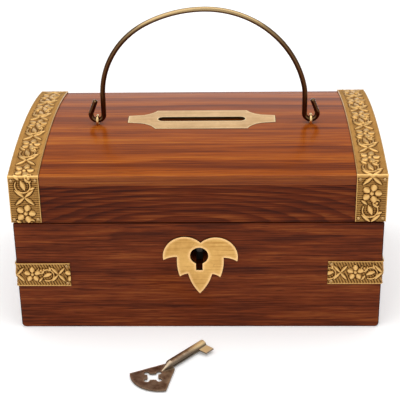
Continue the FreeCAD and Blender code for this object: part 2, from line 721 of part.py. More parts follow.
def strike_blank():
    """Return the strike plate with its tab and the tab's hole for the bolt."""
    half = STRIKE_WIDTH / 2
    foot = LID_RIM + STRIKE_LIFT
    plate = block((KEY_X - half, KEY_X + half), (INNER_FRONT, INNER_FRONT + STRIKE_THICKNESS),
                  (foot, foot + STRIKE_HEIGHT))
    x = (KEY_X + TAB_X - STRIKE_THICKNESS / 2, KEY_X + TAB_X + STRIKE_THICKNESS / 2)
    root = block(x, (INNER_FRONT, TAB_FRONT + TAB_DEPTH), (foot, foot + TAB_ROOT))
    tab = block(x, (TAB_FRONT, TAB_FRONT + TAB_DEPTH), (BASE_HEIGHT - TAB_DROP, foot))
    hole = block(x, (BOLT_Y - BOLT_CLEARANCE, BOLT_Y + BOLT_THICKNESS + BOLT_CLEARANCE),
                 (BOLT_Z - BOLT_CLEARANCE, BOLT_Z + BOLT_HEIGHT + BOLT_CLEARANCE))
    return plate.fuse([root, tab]).cut(hole).removeSplitter()


def strike_screw_places():
    """Return the (point, direction) pairs of the strike's two screws."""
    half = STRIKE_WIDTH / 2 - SCREW_INSET
    z = LID_RIM + STRIKE_LIFT + STRIKE_HEIGHT / 2
    return [((KEY_X + x, INNER_FRONT + STRIKE_THICKNESS, z), (0, -1, 0)) for x in (-half, half)]


# Key

def bow_piercing():
    """Return the four-lobed piercing of the key's bow, with hollow sides and round lobes."""
    reach = KEY_BOW_LOBE - KEY_LOBE_RADIUS
    waist = KEY_BOW_WAIST / math.sqrt(2)
    low = KEY_BOW_LIFT
    lobes = [(reach, 0, low), (0, reach, low), (-reach, 0, low), (0, -reach, low)]
    waists = [(waist, waist, low), (-waist, waist, low), (-waist, -waist, low), (waist, -waist, low)]
    sides = [arc(lobes[i], waists[i], lobes[(i + 1) % 4]) for i in range(4)]
    star = face_of(sides).extrude(Vector(0, 0, KEY_SHEET))
    tips = [rod(lobe, (0, 0, 1), KEY_LOBE_RADIUS, KEY_SHEET) for lobe in lobes]
    return star.fuse(tips).removeSplitter()


def key_bow():
    """Return the flat bow, a fan behind the neck, with its piercing in line with the shank."""
    back, out = KEY_BOW_CORNER
    low = KEY_BOW_LIFT
    corners = [(-back, out, low), (-back, -out, low)]
    neck = [(0, KEY_BOW_NECK, low), (0, -KEY_BOW_NECK, low)]
    bow = face_of([line(neck[0], corners[0]),
                   arc(corners[0], (-KEY_BOW_LENGTH, 0, low), corners[1]),
                   line(corners[1], neck[1]),
                   line(neck[1], neck[0])]).extrude(Vector(0, 0, KEY_SHEET))
    bow.rotate(Vector(0, 0, 0), Vector(0, 0, 1), KEY_BOW_SKEW)
    piercing = bow_piercing()
    piercing.translate(Vector(-KEY_BOW_EYE, 0, 0))
    return bow.cut(piercing)


def key_flare():
    """Return the cone in which the rolled shank runs out, ending inside the bow's sheet."""
    end = KEY_SHEET / 4
    rims = [(0, KEY_BARREL, KEY_BARREL), (-KEY_FLARE, end, KEY_BOW_LIFT + KEY_SHEET / 2)]
    wires = [Part.Wire(Part.makeCircle(radius, Vector(x, 0, z), Vector(1, 0, 0)))
             for x, radius, z in rims]
    return Part.makeLoft(wires, True)


def loose_key():
    """Return the key, flat on the floor: a fan-shaped bow, a rolled shank and a bit."""
    axis = (0, 0, KEY_BARREL)
    tip = KEY_SHANK_LENGTH
    barrel = rod(axis, (1, 0, 0), KEY_BARREL, tip)
    bit = block((tip - KEY_BIT_WIDTH, tip), (-KEY_BIT_REACH, 0),
                (KEY_BARREL - KEY_SHEET / 2, KEY_BARREL + KEY_SHEET / 2))
    bore = rod(axis, (1, 0, 0), KEY_BARREL - KEY_SHEET, tip)
    seam = block((0, tip - KEY_BIT_WIDTH), (-KEY_BARREL, 0),
                 (KEY_BARREL - KEY_SEAM / 2, KEY_BARREL + KEY_SEAM / 2))
    shank = barrel.fuse([key_flare(), bit]).cut([bore, seam]).removeSplitter()
    key = shank.fuse(key_bow())
    key.rotate(Vector(0, 0, 0), Vector(0, 0, 1), KEY_TURN)
    key.translate(Vector(KEY_NECK[0], KEY_NECK[1], 0))
    return key


# Assembly

def base_fittings(parts, wood):
    """Add the brackets, bottom nails and escutcheon, and cut their seats in the wood."""
    for side, hand in ((-1, "left"), (1, "right")):
        for end, place in ((-1, "front"), (1, "back")):
            pins = bracket_pins(side, end)
            parts[f"corner_{place}_{hand}"] = bracket_blank(side, end).cut(pins)
            parts[f"corner_{place}_{hand}_pins"] = Part.makeCompound(pins)
            for name in (f"base_{place}", f"base_{hand}"):
                wood[name] = wood[name].cut(pins)
    nail_y = INNER_BACK + BOTTOM_REBATE / 2
    nails = [flat_nail((x, y, 0)) for x in (-NAIL_X, 0, NAIL_X) for y in (-nail_y, nail_y)]
    parts["bottom_nails"] = Part.makeCompound(nails)
    for name in ("base_bottom", "base_front", "base_back"):
        wood[name] = wood[name].cut(nails)
    leaf = leaf_blank()
    keyhole = keyhole_cutter(FRONT - WALL, LOCK_BACK)
    parts["leaf_escutcheon"] = leaf.cut(keyhole)
    wood["base_front"] = wood["base_front"].cut([leaf, keyhole])


def lid_fittings(parts, wood):
    """Add the straps, slot plate, handle and eyes, and cut their seats in the wood."""
    for side, hand in ((-1, "left"), (1, "right")):
        pins = strap_pins(side)
        parts[f"lid_strap_{hand}"] = strap_blank(side).cut(pins)
        parts[f"lid_strap_{hand}_pins"] = Part.makeCompound(pins)
        for name in ("lid_front", "lid_back", f"lid_{hand}", "lid_top"):
            wood[name] = wood[name].cut(pins)
        eye = screw_eye(side)
        parts[f"handle_eye_{hand}"] = eye
        wood["lid_top"] = wood["lid_top"].cut(eye)
    plate = slot_plate_blank()
    slot = slot_cutter()
    parts["slot_plate"] = plate.cut(slot)
    wood["lid_top"] = wood["lid_top"].cut([slot_plate_blank(PLATE_GAP), slot])
    parts["bail_handle"] = bail_handle()


def hinges(parts, wood):
    """Add both hinges and cut their mortises and the bevels of the back edges."""
    screws = {-1: [], 1: []}
    boards = {-1: "base_back", 1: "lid_back"}
    sides = {-1: "base", 1: "lid"}
    bores = {-1: HINGE_PIN / 2, 1: HINGE_PIN / 2 + HINGE_FIT}
    for up, board in boards.items():
        wood[board] = wood[board].cut(bevel_cutter(up))
    wood["base_left"] = wood["base_left"].cut(bevel_cutter(-1))
    wood["base_right"] = wood["base_right"].cut(bevel_cutter(-1))
    wood["lid_left"] = wood["lid_left"].cut(bevel_cutter(1))
    wood["lid_right"] = wood["lid_right"].cut(bevel_cutter(1))
    for centre, hand in ((-HINGE_X, "left"), (HINGE_X, "right")):
        for up, board in boards.items():
            places = hinge_screw_places(centre, up)
            envelopes = [sunk_screw(*place) for place in places]
            leaf = hinge_leaf(centre, up, bores[up])
            parts[f"hinge_{hand}_{sides[up]}_leaf"] = leaf.cut(envelopes)
            wood[board] = wood[board].cut([hinge_mortise(centre, up)] + envelopes)
            screws[up] += [slotted(e, *place) for e, place in zip(envelopes, places)]
        start = (centre - HINGE_LENGTH / 2, HINGE_Y, HINGE_Z)
        parts[f"hinge_{hand}_pin"] = rod(start, (1, 0, 0), HINGE_PIN / 2, HINGE_LENGTH)
    parts["hinge_base_screws"] = Part.makeCompound(screws[-1])
    parts["hinge_lid_screws"] = Part.makeCompound(screws[1])


def lock(parts, wood):
    """Add the lock, its bolt and the strike, and drill the boards for their screws."""
    lock_places = lock_screw_places()
    lock_envelopes = [sunk_screw(*place) for place in lock_places]
    keyhole = keyhole_cutter(FRONT - WALL, LOCK_BACK)
    guides = bolt_guides()
    parts["lock_plate"] = lock_plate_blank().cut(lock_envelopes + [keyhole])
    parts["lock_case"] = lock_case()
    parts["lock_drill_pin"] = drill_pin()
    parts["lock_bolt_guides"] = Part.makeCompound(guides)
    parts["lock_bolt"] = lock_bolt()
    parts["lock_bolt_spring"] = bolt_spring()
    parts["lock_screws"] = Part.makeCompound(
        [slotted(e, *place) for e, place in zip(lock_envelopes, lock_places)])
    wood["base_front"] = wood["base_front"].cut(lock_envelopes)
    strike_places = strike_screw_places()
    strike_envelopes = [sunk_screw(*place) for place in strike_places]
    parts["strike_plate"] = strike_blank().cut(strike_envelopes)
    parts["strike_screws"] = Part.makeCompound(
        [slotted(e, *place) for e, place in zip(strike_envelopes, strike_places)])
    wood["lid_front"] = wood["lid_front"].cut(strike_envelopes)


def build():
    """Return every piece of the box by its node name."""
    wood = {"base_bottom": base_bottom()}
    wood.update(base_walls(wood["base_bottom"]))
    wood.update(lid_walls())
    wood["lid_top"] = lid_plank()
    parts = {}
    base_fittings(parts, wood)
    lid_fittings(parts, wood)
    hinges(parts, wood)
    lock(parts, wood)
    parts["key"] = loose_key()
    parts.update(wood)
    return parts


os.makedirs("parts", exist_ok=True)
for node, shape in sorted(build().items()):
    shape.exportStep(f"parts/{node}.step")
    solids = len(shape.Solids)
    print(f"{node}: {solids} solid(s), {shape.Volume:.1f} mm3, valid {shape.isValid()}")
print(f"hinge axis y {HINGE_Y:.3f} z {HINGE_Z:.3f}, handle axis z {handle_axis_z():.3f}")
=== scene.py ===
"""Looks of the donation box: varnished rosewood, embossed brass, bent wire, lock and key."""
import logging
import math
from dataclasses import dataclass
from enum import Enum
from functools import reduce
from typing import Any, ClassVar, Sequence

import bpy
import numpy as np
from mathutils import Matrix, Vector


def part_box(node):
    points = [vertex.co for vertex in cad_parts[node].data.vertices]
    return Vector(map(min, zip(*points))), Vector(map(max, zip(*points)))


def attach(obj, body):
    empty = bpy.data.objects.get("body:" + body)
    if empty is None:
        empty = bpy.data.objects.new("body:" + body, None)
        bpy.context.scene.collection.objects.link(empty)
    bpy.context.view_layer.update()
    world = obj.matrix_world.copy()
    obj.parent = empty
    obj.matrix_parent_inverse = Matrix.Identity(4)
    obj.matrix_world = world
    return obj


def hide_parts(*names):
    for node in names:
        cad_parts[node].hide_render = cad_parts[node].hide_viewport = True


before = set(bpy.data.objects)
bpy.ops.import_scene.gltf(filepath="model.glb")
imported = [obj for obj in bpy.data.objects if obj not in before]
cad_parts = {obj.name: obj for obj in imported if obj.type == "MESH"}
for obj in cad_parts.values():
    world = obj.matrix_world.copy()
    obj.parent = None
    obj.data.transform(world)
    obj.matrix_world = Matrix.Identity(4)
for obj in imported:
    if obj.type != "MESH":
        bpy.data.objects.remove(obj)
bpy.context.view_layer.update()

MM = 0.001
UP = (0.0, 0.0, 1.0)
RELIEF = "relief"  # point attribute that holds the height of embossed work, from 0 to 1
GROOVE_REACH = 0.6  # millimetres of ground that the groove round a motif takes up
LEAF_TIP = 0.02  # least half-width of an embossed leaf, in millimetres

Colour = tuple[float, float, float]
Point = tuple[float, float, float]
Fibres = tuple[float, float, float]  # noise cells to the metre along and across the grain, finer layers
Range = tuple[float, float]
Socket = bpy.types.NodeSocket
Material = bpy.types.Material
Piece = bpy.types.Object
log = logging.getLogger("donation_box")


class Grain(Enum):
    """Direction in which a board's fibres run."""

    ALONG_X = "x"
    ALONG_Y = "y"


class WidthAxis(Enum):
    """Axis along which the width of an embossed strip runs."""

    X = 0
    Z = 2


def tint(colour: Colour, factor: float, lift: float = 0.0) -> Colour:
    """Return a colour times a factor, plus a lift, held at white."""
    return tuple(min(1.0, factor * part + lift) for part in colour)


class NodeTree:
    """A node tree, with short calls for adding and joining nodes."""

    NUMBER_RESULTS: ClassVar[tuple[str, ...]] = ("DOT_PRODUCT", "LENGTH", "DISTANCE")  # not vectors

    def __init__(self, tree: bpy.types.NodeTree) -> None:
        """Take over a tree and empty it."""
        self.tree = tree
        tree.nodes.clear()

    def feed(self, socket: Socket, value: Any) -> None:
        """Set an input to a value, or join an output to it.

        Args:
            socket: The input.
            value: A plain value or another node's output.
        """
        if isinstance(value, Socket):
            self.tree.links.new(value, socket)
        else:
            socket.default_value = value

    def add(self, kind: str, inputs: dict[Any, Any] | None = None, **settings: Any) -> bpy.types.Node:
        """Add a node.

        Args:
            kind: Blender's name of the node type.
            inputs: Socket name or number to a value, or to an output that is joined to it.
            **settings: Properties of the node.

        Returns:
            The new node.
        """
        node = self.tree.nodes.new(kind)
        for key, value in settings.items():
            setattr(node, key, value)
        for key, value in (inputs or {}).items():
            self.feed(node.inputs[key], value)
        return node

    def math(self, operation: str, first: Any, second: Any = 0.0) -> Socket:
        """Return the result of one calculation with numbers."""
        return self.add("ShaderNodeMath", {0: first, 1: second}, operation=operation).outputs[0]

    def weighted(self, *terms: tuple[Socket, float]) -> Socket:
        """Return the sum of numbers, each times its weight."""
        products = [self.math("MULTIPLY", value, weight) for value, weight in terms]
        return reduce(lambda total, product: self.math("ADD", total, product), products)

    def vector(self, operation: str, first: Any, second: Any = (0.0, 0.0, 0.0)) -> Socket:
        """Return the result of one calculation with vectors."""
        node = self.add("ShaderNodeVectorMath", {0: first, 1: second}, operation=operation)
        return node.outputs["Value" if operation in self.NUMBER_RESULTS else "Vector"]

    def part(self, vector: Socket, axis: str) -> Socket:
        """Return the part of a vector along X, Y or Z."""
        return self.add("ShaderNodeSeparateXYZ", {"Vector": vector}).outputs[axis]

    def band(self, value: Socket, low: float, high: float, start: float = 0.0, end: float = 1.0) -> Socket:
        """Return a number mapped from one range to another, held at the ends."""
        return self.add("ShaderNodeMapRange", {"Value": value, "From Min": low, "From Max": high,
                                               "To Min": start, "To Max": end}).outputs["Result"]

    def seen(self) -> Socket:
        """Mark the rays that show the background: from the camera, in gloss and through glass.

        Returns:
            1 on those rays, and 0 on rays that only light a surface.
        """
        path = self.add("ShaderNodeLightPath").outputs
        mirrored = self.math("MAXIMUM", path["Is Glossy Ray"], path["Is Transmission Ray"])
        return self.math("MAXIMUM", path["Is Camera Ray"], mirrored)


class FinishGraph(NodeTree):
    """A material's node tree, which ends in a Principled shader."""

    MIX_INPUTS: ClassVar[tuple[int, int, int]] = (0, 6, 7)  # factor and colours of a Mix node
    MIX_RESULT: ClassVar[int] = 2
    BEVEL_SAMPLES: ClassVar[int] = 6

    def __init__(self, name: str) -> None:
        """Start an empty material.

        Args:
            name: Name of the material.
        """
        self.material = bpy.data.materials.new(name)
        self.material.use_nodes = True
        super().__init__(self.material.node_tree)
        self.shader = self.add("ShaderNodeBsdfPrincipled")
        self.add("ShaderNodeOutputMaterial", {"Surface": self.shader.outputs["BSDF"]})

    def shade(self, **sockets: Any) -> Material:
        """Feed the shader, which completes the material.

        Args:
            **sockets: Values or outputs by the shader's socket, named with _ in place of a space.

        Returns:
            The material.
        """
        for name, value in sockets.items():
            self.feed(self.shader.inputs[name.replace("_", " ")], value)
        return self.material

    def coordinates(self, scale: Sequence[float] = (1.0, 1.0, 1.0),
                    shift: Sequence[float] = (0.0, 0.0, 0.0)) -> Socket:
        """Return Object coordinates, scaled and then shifted."""
        place = self.add("ShaderNodeTexCoord").outputs["Object"]
        return self.add("ShaderNodeMapping", {"Vector": place, "Location": shift,
                                              "Scale": scale}).outputs["Vector"]

    def noise(self, cells: float | Sequence[float], detail: float, rough: float = 0.55,
              shift: Sequence[float] = (0.0, 0.0, 0.0)) -> Socket:
        """Return fractal noise between 0 and 1.

        Args:
            cells: Cells to the metre, one number for all axes or for each.
            detail: Number of finer layers.
            rough: Weight of each finer layer.
            shift: Moves the pattern, in cells.

        Returns:
            The noise.
        """
        scale = (cells,) * 3 if isinstance(cells, float) else cells
        return self.add("ShaderNodeTexNoise", {"Vector": self.coordinates(scale, shift), "Scale": 1.0,
                                               "Detail": detail, "Roughness": rough}).outputs["Fac"]

    def spread(self, noise: Socket, start: float, end: float) -> Socket:
        """Return the usual range of a noise, 0.3 to 0.7, mapped to another."""
        return self.band(noise, 0.3, 0.7, start, end)

    def ramp(self, value: Socket, stops: Sequence[tuple[float, Colour]]) -> Socket:
        """Return a colour that runs through the stops as the value rises.

        Args:
            value: Number from 0 to 1.
            stops: Places and linear colours.

        Returns:
            The colour.
        """
        node = self.add("ShaderNodeValToRGB", {"Fac": value})
        elements = node.color_ramp.elements
        while len(elements) < len(stops):
            elements.new(1.0)
        for element, (place, colour) in zip(elements, stops):
            element.position = place
            element.color = (*colour, 1.0)
        return node.outputs["Color"]

    def mix(self, factor: Socket, first: Socket | Colour, second: Socket | Colour,
            share: float = 1.0) -> Socket:
        """Return a blend of two colours.

        Args:
            factor: Number from 0 to 1.
            first: Colour at 0.
            second: Colour at 1.
            share: How much of the second colour a factor of 1 gives.

        Returns:
            The blend.
        """
        reach = factor if share == 1.0 else self.math("MULTIPLY", factor, share)
        colours = [part if isinstance(part, Socket) else (*part, 1.0) for part in (first, second)]
        inputs = dict(zip(self.MIX_INPUTS, (reach, *colours)))
        return self.add("ShaderNodeMix", inputs, data_type="RGBA").outputs[self.MIX_RESULT]

    def bump(self, height: Socket, depth: float, strength: float) -> Socket:
        """Return a normal bent by a height field whose full rise is the given depth in metres."""
        inputs = {"Height": height, "Distance": depth, "Strength": strength}
        return self.add("ShaderNodeBump", inputs).outputs["Normal"]

    def normal(self) -> Socket:
        """Return the surface's direction in the piece's own axes."""
        return self.add("ShaderNodeTexCoord").outputs["Normal"]

    def facing(self, direction: Socket | Point) -> Socket:
        """Return how far the surface faces a direction, from -1 to 1."""
        return self.vector("DOT_PRODUCT", self.normal(), direction)

    def edges(self, width: float, softness: float = 0.35) -> Socket:
        """Return a mask that rises to 1 on outer edges, from how far a bevelled normal turns.

        Args:
            width: Reach of the mask from an edge, in metres.
            softness: Turn of the normal at which the mask is full.

        Returns:
            The mask.
        """
        bevel = self.add("ShaderNodeBevel", {"Radius": width}, samples=self.BEVEL_SAMPLES)
        face = self.add("ShaderNodeNewGeometry")
        agree = self.vector("DOT_PRODUCT", bevel.outputs["Normal"], face.outputs["True Normal"])
        return self.band(agree, 1.0, 1.0 - softness)

    def rounds(self) -> Socket:
        """Mask a square board's rounded edges, which face no axis, apart from those that face up.

        Returns:
            A mask that is 1 on the edges.
        """
        size = self.vector("ABSOLUTE", self.normal())
        parts = [self.part(size, axis) for axis in "XYZ"]
        most = reduce(lambda first, second: self.math("MAXIMUM", first, second), parts)
        return self.math("MULTIPLY", self.band(most, 0.99, 0.93), self.band(self.facing(UP), 0.25, 0.1))

    def attribute(self, name: str) -> Socket:
        """Return a number stored on the piece's points."""
        return self.add("ShaderNodeAttribute", attribute_name=name).outputs["Fac"]


@dataclass(frozen=True)
class Rosewood:
    """Varnished rosewood: growth rings cut by the board, fine fibres, open pores and a clear coat.

    Attributes:
        name: Name of the material.
        grain: Direction of the fibres.
        pith: Point (across, up) in metres round which the rings run.
        seed: Shifts the noise, so that boards differ.
        arch: How fast the rings close along the grain: 0 gives straight stripes.
        arch_at: Place along the grain, in metres, of the middle of the arches.
        ring: Spacing of the rings in metres.
        dark: Linear colour of the late wood.
        middle: Linear colour of the heartwood.
        light: Linear colour of the early wood.
        warp: How far slow noise bends the rings, in rings.
        wobble: How far quick noise frays the rings, in rings.
        ring_depth: How much a ring darkens the wood.
        contrast: Strength of the streaks.
        stretch: How many times longer than usual the streaks are.
        sheen: Reflection of the wood itself.
        coat: Weight of the varnish.
        coat_haze: Roughness of the varnish.
        upright_shade: How much darker the upright faces of a flat board are painted, as painted shade under
            the light from above.
        edge_shade: Share of painted shade on the rounded edges that do not face up, from 0 to 1.
    """

    BROAD: ClassVar[Fibres] = (7.0, 170.0, 2.0)
    STREAK: ClassVar[Fibres] = (12.0, 560.0, 3.0)
    FINE: ClassVar[Fibres] = (48.0, 1500.0, 3.0)
    PORE: ClassVar[Fibres] = (130.0, 2400.0, 1.0)
    BEND: ClassVar[Fibres] = (14.0, 60.0, 3.0)
    FRAY: ClassVar[Fibres] = (40.0, 420.0, 2.0)
    SHARES: ClassVar[tuple[float, ...]] = (0.32, 0.20, 0.58)  # of broad, streak and fine in the tone
    TONE_MIDDLE: ClassVar[float] = 0.55
    TONE_HALF: ClassVar[float] = 0.19
    LATE_SETS_IN: ClassVar[Range] = (0.25, 0.86)  # shares of a ring
    LATE_ENDS: ClassVar[Range] = (0.90, 1.0)
    SEED_STEPS: ClassVar[Point] = (1.0, 1.7, 0.6)
    PIT_DEPTH: ClassVar[float] = 0.04 * MM
    RUB_REACH: ClassVar[float] = 0.7 * MM

    name: str
    grain: Grain
    pith: tuple[float, float]
    seed: float
    arch: float = 0.02
    arch_at: float = 0.0
    ring: float = 4.2 * MM
    dark: Colour = (0.060, 0.0100, 0.0022)
    middle: Colour = (0.172, 0.030, 0.0055)
    light: Colour = (0.310, 0.078, 0.015)
    warp: float = 2.6
    wobble: float = 0.45
    ring_depth: float = 0.30
    contrast: float = 1.2
    stretch: float = 1.0
    sheen: float = 0.06
    coat: float = 0.08
    coat_haze: float = 0.16
    upright_shade: float = 0.0
    edge_shade: float = 0.85

    def in_order(self, along: float, across: float, up: float) -> Point:
        """Return numbers given by the grain in the order X, Y, Z."""
        return (along, across, up) if self.grain is Grain.ALONG_X else (across, along, up)

    def fibres(self, graph: FinishGraph, noise: Fibres) -> Socket:
        """Return noise stretched along the grain.

        Args:
            graph: The material's graph.
            noise: Cells along, cells across, number of finer layers.

        Returns:
            The noise.
        """
        along, across, detail = noise
        cells = self.in_order(along / self.stretch, across, across)
        return graph.noise(cells, detail, 0.6, [step * self.seed for step in self.SEED_STEPS])

    def rings(self, graph: FinishGraph) -> Socket:
        """Return the growth rings: a soft rise and a sharp fall with each step away from the pith.

        Args:
            graph: The material's graph.

        Returns:
            A number from 0 to 1, highest in the late wood.
        """
        place = self.in_order(-self.arch * self.arch_at, -self.pith[0], -self.pith[1])
        reach = graph.vector("LENGTH", graph.coordinates(self.in_order(self.arch, 1.0, 1.0), place))
        bends = graph.weighted((self.fibres(graph, self.BEND), self.warp),
                               (self.fibres(graph, self.FRAY), self.wobble))
        share = graph.math("FRACT", graph.math("ADD", graph.math("DIVIDE", reach, self.ring), bends))
        setting_in = graph.band(share, *self.LATE_SETS_IN)
        return graph.math("SUBTRACT", setting_in, graph.band(share, *self.LATE_ENDS))

    def aged(self, graph: FinishGraph, colour: Socket, streak: Socket) -> Socket:
        """Return the colour with painted shade on the rounds and the upright faces, and rubbed edges.

        Args:
            graph: The material's graph.
            colour: Colour of the fresh wood.
            streak: Noise that breaks up the rubbed edges.

        Returns:
            The aged colour.
        """
        if self.edge_shade:
            # painted shade: rounded edges that do not face up are darkened
            colour = graph.mix(graph.rounds(), colour, tint(self.dark, 0.25), self.edge_shade)
        rubbed = graph.math("MULTIPLY", graph.edges(self.RUB_REACH), graph.band(streak, 0.6, 0.75))
        colour = graph.mix(rubbed, colour, self.light, 0.3)
        if self.upright_shade:
            # painted shade: faces that turn from up are darkened
            colour = graph.mix(graph.band(graph.facing(UP), 0.9, 0.3, 0.0, self.upright_shade), colour, self.dark)
        return colour

    def material(self) -> Material:
        """Make the material: rings darken the wood, fibres streak it and pores pit it.

        Returns:
            The material.
        """
        graph = FinishGraph(self.name)
        broad, streak, fine = (self.fibres(graph, noise) for noise in (self.BROAD, self.STREAK, self.FINE))
        late = graph.math("MULTIPLY", self.rings(graph), self.ring_depth)
        tone = graph.weighted(*zip((broad, streak, fine), self.SHARES))
        half = self.TONE_HALF / self.contrast
        early = graph.band(tone, self.TONE_MIDDLE - half, self.TONE_MIDDLE + half)
        tone = graph.math("SUBTRACT", early, late)
        colour = graph.ramp(tone, ((0.0, self.dark), (0.5, self.middle), (1.0, self.light)))
        pores = graph.band(self.fibres(graph, self.PORE), 0.58, 0.68)
        colour = graph.mix(pores, colour, self.dark, 0.6)
        relief = graph.math("SUBTRACT", graph.math("MULTIPLY", fine, 0.35), pores)
        return graph.shade(Base_Color=self.aged(graph, colour, streak), Specular_IOR_Level=self.sheen,
                           Roughness=graph.spread(streak, 0.36, 0.5),
                           Normal=graph.bump(relief, self.PIT_DEPTH, 0.3),
                           Coat_Weight=self.coat, Coat_Roughness=self.coat_haze)


@dataclass(frozen=True)
class PlainBoard:
    """Unvarnished softwood of the bottom: pale stripes and dull pores.

    Attributes:
        name: Name of the material.
        brown: Linear colour of the dark stripes.
        tan: Linear colour of the pale ones.
    """

    FIBRE_DEPTH: ClassVar[float] = 0.05 * MM

    name: str = "bottom_board"
    brown: Colour = (0.16, 0.075, 0.032)
    tan: Colour = (0.36, 0.20, 0.095)

    def material(self) -> Material:
        """Make the material: two stretched noises that run from brown to tan.

        Returns:
            The material.
        """
        graph = FinishGraph(self.name)
        stripe = graph.noise((7.0, 240.0, 240.0), 4.0)
        fine = graph.noise((40.0, 1500.0, 1500.0), 3.0)
        tone = graph.weighted((stripe, 0.7), (fine, 0.3))
        colour = graph.ramp(tone, ((0.3, self.brown), (0.7, self.tan)))
        return graph.shade(Base_Color=colour, Roughness=0.7, Normal=graph.bump(fine, self.FIBRE_DEPTH, 0.5))


@dataclass(frozen=True)
class SheetBrass:
    """Flat brass with a rubbed satin face, faint tarnish and fine scratches along X.

    Attributes:
        name: Name of the material.
        bright: Linear colour of the clean metal.
        dull: Linear colour of the tarnish.
        gloss: Lowest roughness.
        tarnish: Share of tarnish from 0 to 1.
        rim: Reach of the lighter rims in metres, partly rubbed wear and partly a painted highlight of a
            bevel.
        face: Outward direction of the clean face. Walls that turn from it are painted dark, as painted
            shade.
        smudge: Share of dark smudges from 0 to 1.
        grime: Linear colour of the smudges.
    """

    SCRATCH_DEPTH: ClassVar[float] = 0.012 * MM
    GLOSS_RANGE: ClassVar[float] = 0.16

    name: str
    bright: Colour
    dull: Colour
    gloss: float
    tarnish: float
    rim: float = 0.4 * MM
    face: Point | None = None
    smudge: float = 0.0
    grime: Colour = (0.16, 0.075, 0.02)

    def material(self) -> Material:
        """Make the material: noise clouds of tarnish over stretched scratches.

        Returns:
            The material.
        """
        graph = FinishGraph(self.name)
        cloud = graph.noise(90.0, 4.0)
        speck = graph.noise(700.0, 2.0)
        scratch = graph.noise((60.0, 2400.0, 2400.0), 3.0)
        worn = graph.band(graph.math("ADD", cloud, graph.math("MULTIPLY", speck, 0.35)), 0.45, 0.95)
        worn = graph.math("MULTIPLY", graph.math("ADD", worn, graph.band(scratch, 0.5, 0.8)), self.tarnish)
        colour = graph.mix(graph.band(worn, 0.0, 1.0), self.bright, self.dull)
        smudges = graph.noise(210.0, 5.0, 0.65, (4.0, 0.0, 2.0))
        colour = graph.mix(graph.band(smudges, 0.64, 0.74, 0.0, self.smudge), colour, self.grime)
        # lighter rims: partly rubbed wear, partly a painted highlight where a bevel would catch the light
        colour = graph.mix(graph.edges(self.rim, 0.12), colour, tint(self.bright, 1.2, 0.14), 0.85)
        # painted shade: walls that turn from the face, such as the sheet's edges and the slot's sides, are
        # darkened
        if self.face:
            colour = graph.mix(graph.band(graph.facing(self.face), 0.5, 0.2), colour, tint(self.dull, 0.3))
        return graph.shade(Base_Color=colour, Metallic=1.0,
                           Normal=graph.bump(scratch, self.SCRATCH_DEPTH, 0.5),
                           Roughness=graph.spread(scratch, self.gloss, self.gloss + self.GLOSS_RANGE))


@dataclass(frozen=True)
class EmbossedBrass:
    """Antiqued brass sheet: bright on the raised work, brown in the hollows.

    Attributes:
        name: Name of the material.
        high: Linear colour of the rubbed tops.
        flank: Linear colour of the sides of the raised work.
        ground: Linear colour of the ground between.
        low: Linear colour of the grooves.
    """

    GRIT_DEPTH: ClassVar[float] = 0.01 * MM

    name: str = "embossed_brass"
    high: Colour = (0.70, 0.43, 0.155)
    flank: Colour = (0.45, 0.245, 0.073)
    ground: Colour = (0.28, 0.138, 0.037)
    low: Colour = (0.030, 0.012, 0.003)

    def material(self) -> Material:
        """Make the material: colour and gloss follow the height attribute, broken by noise.

        Returns:
            The material.
        """
        graph = FinishGraph(self.name)
        cloud = graph.noise(160.0, 4.0)
        grit = graph.noise(2600.0, 2.0)
        patchy = graph.math("MULTIPLY", graph.math("SUBTRACT", cloud, 0.5), 0.25)
        rubbed = graph.math("ADD", graph.attribute(RELIEF), patchy)
        stops = ((0.10, self.low), (0.38, self.ground), (0.66, self.flank), (0.97, self.high))
        return graph.shade(Base_Color=graph.ramp(rubbed, stops), Metallic=1.0,
                           Roughness=graph.band(rubbed, 0.2, 0.8, 0.5, 0.3),
                           Normal=graph.bump(grit, self.GRIT_DEPTH, 0.4))


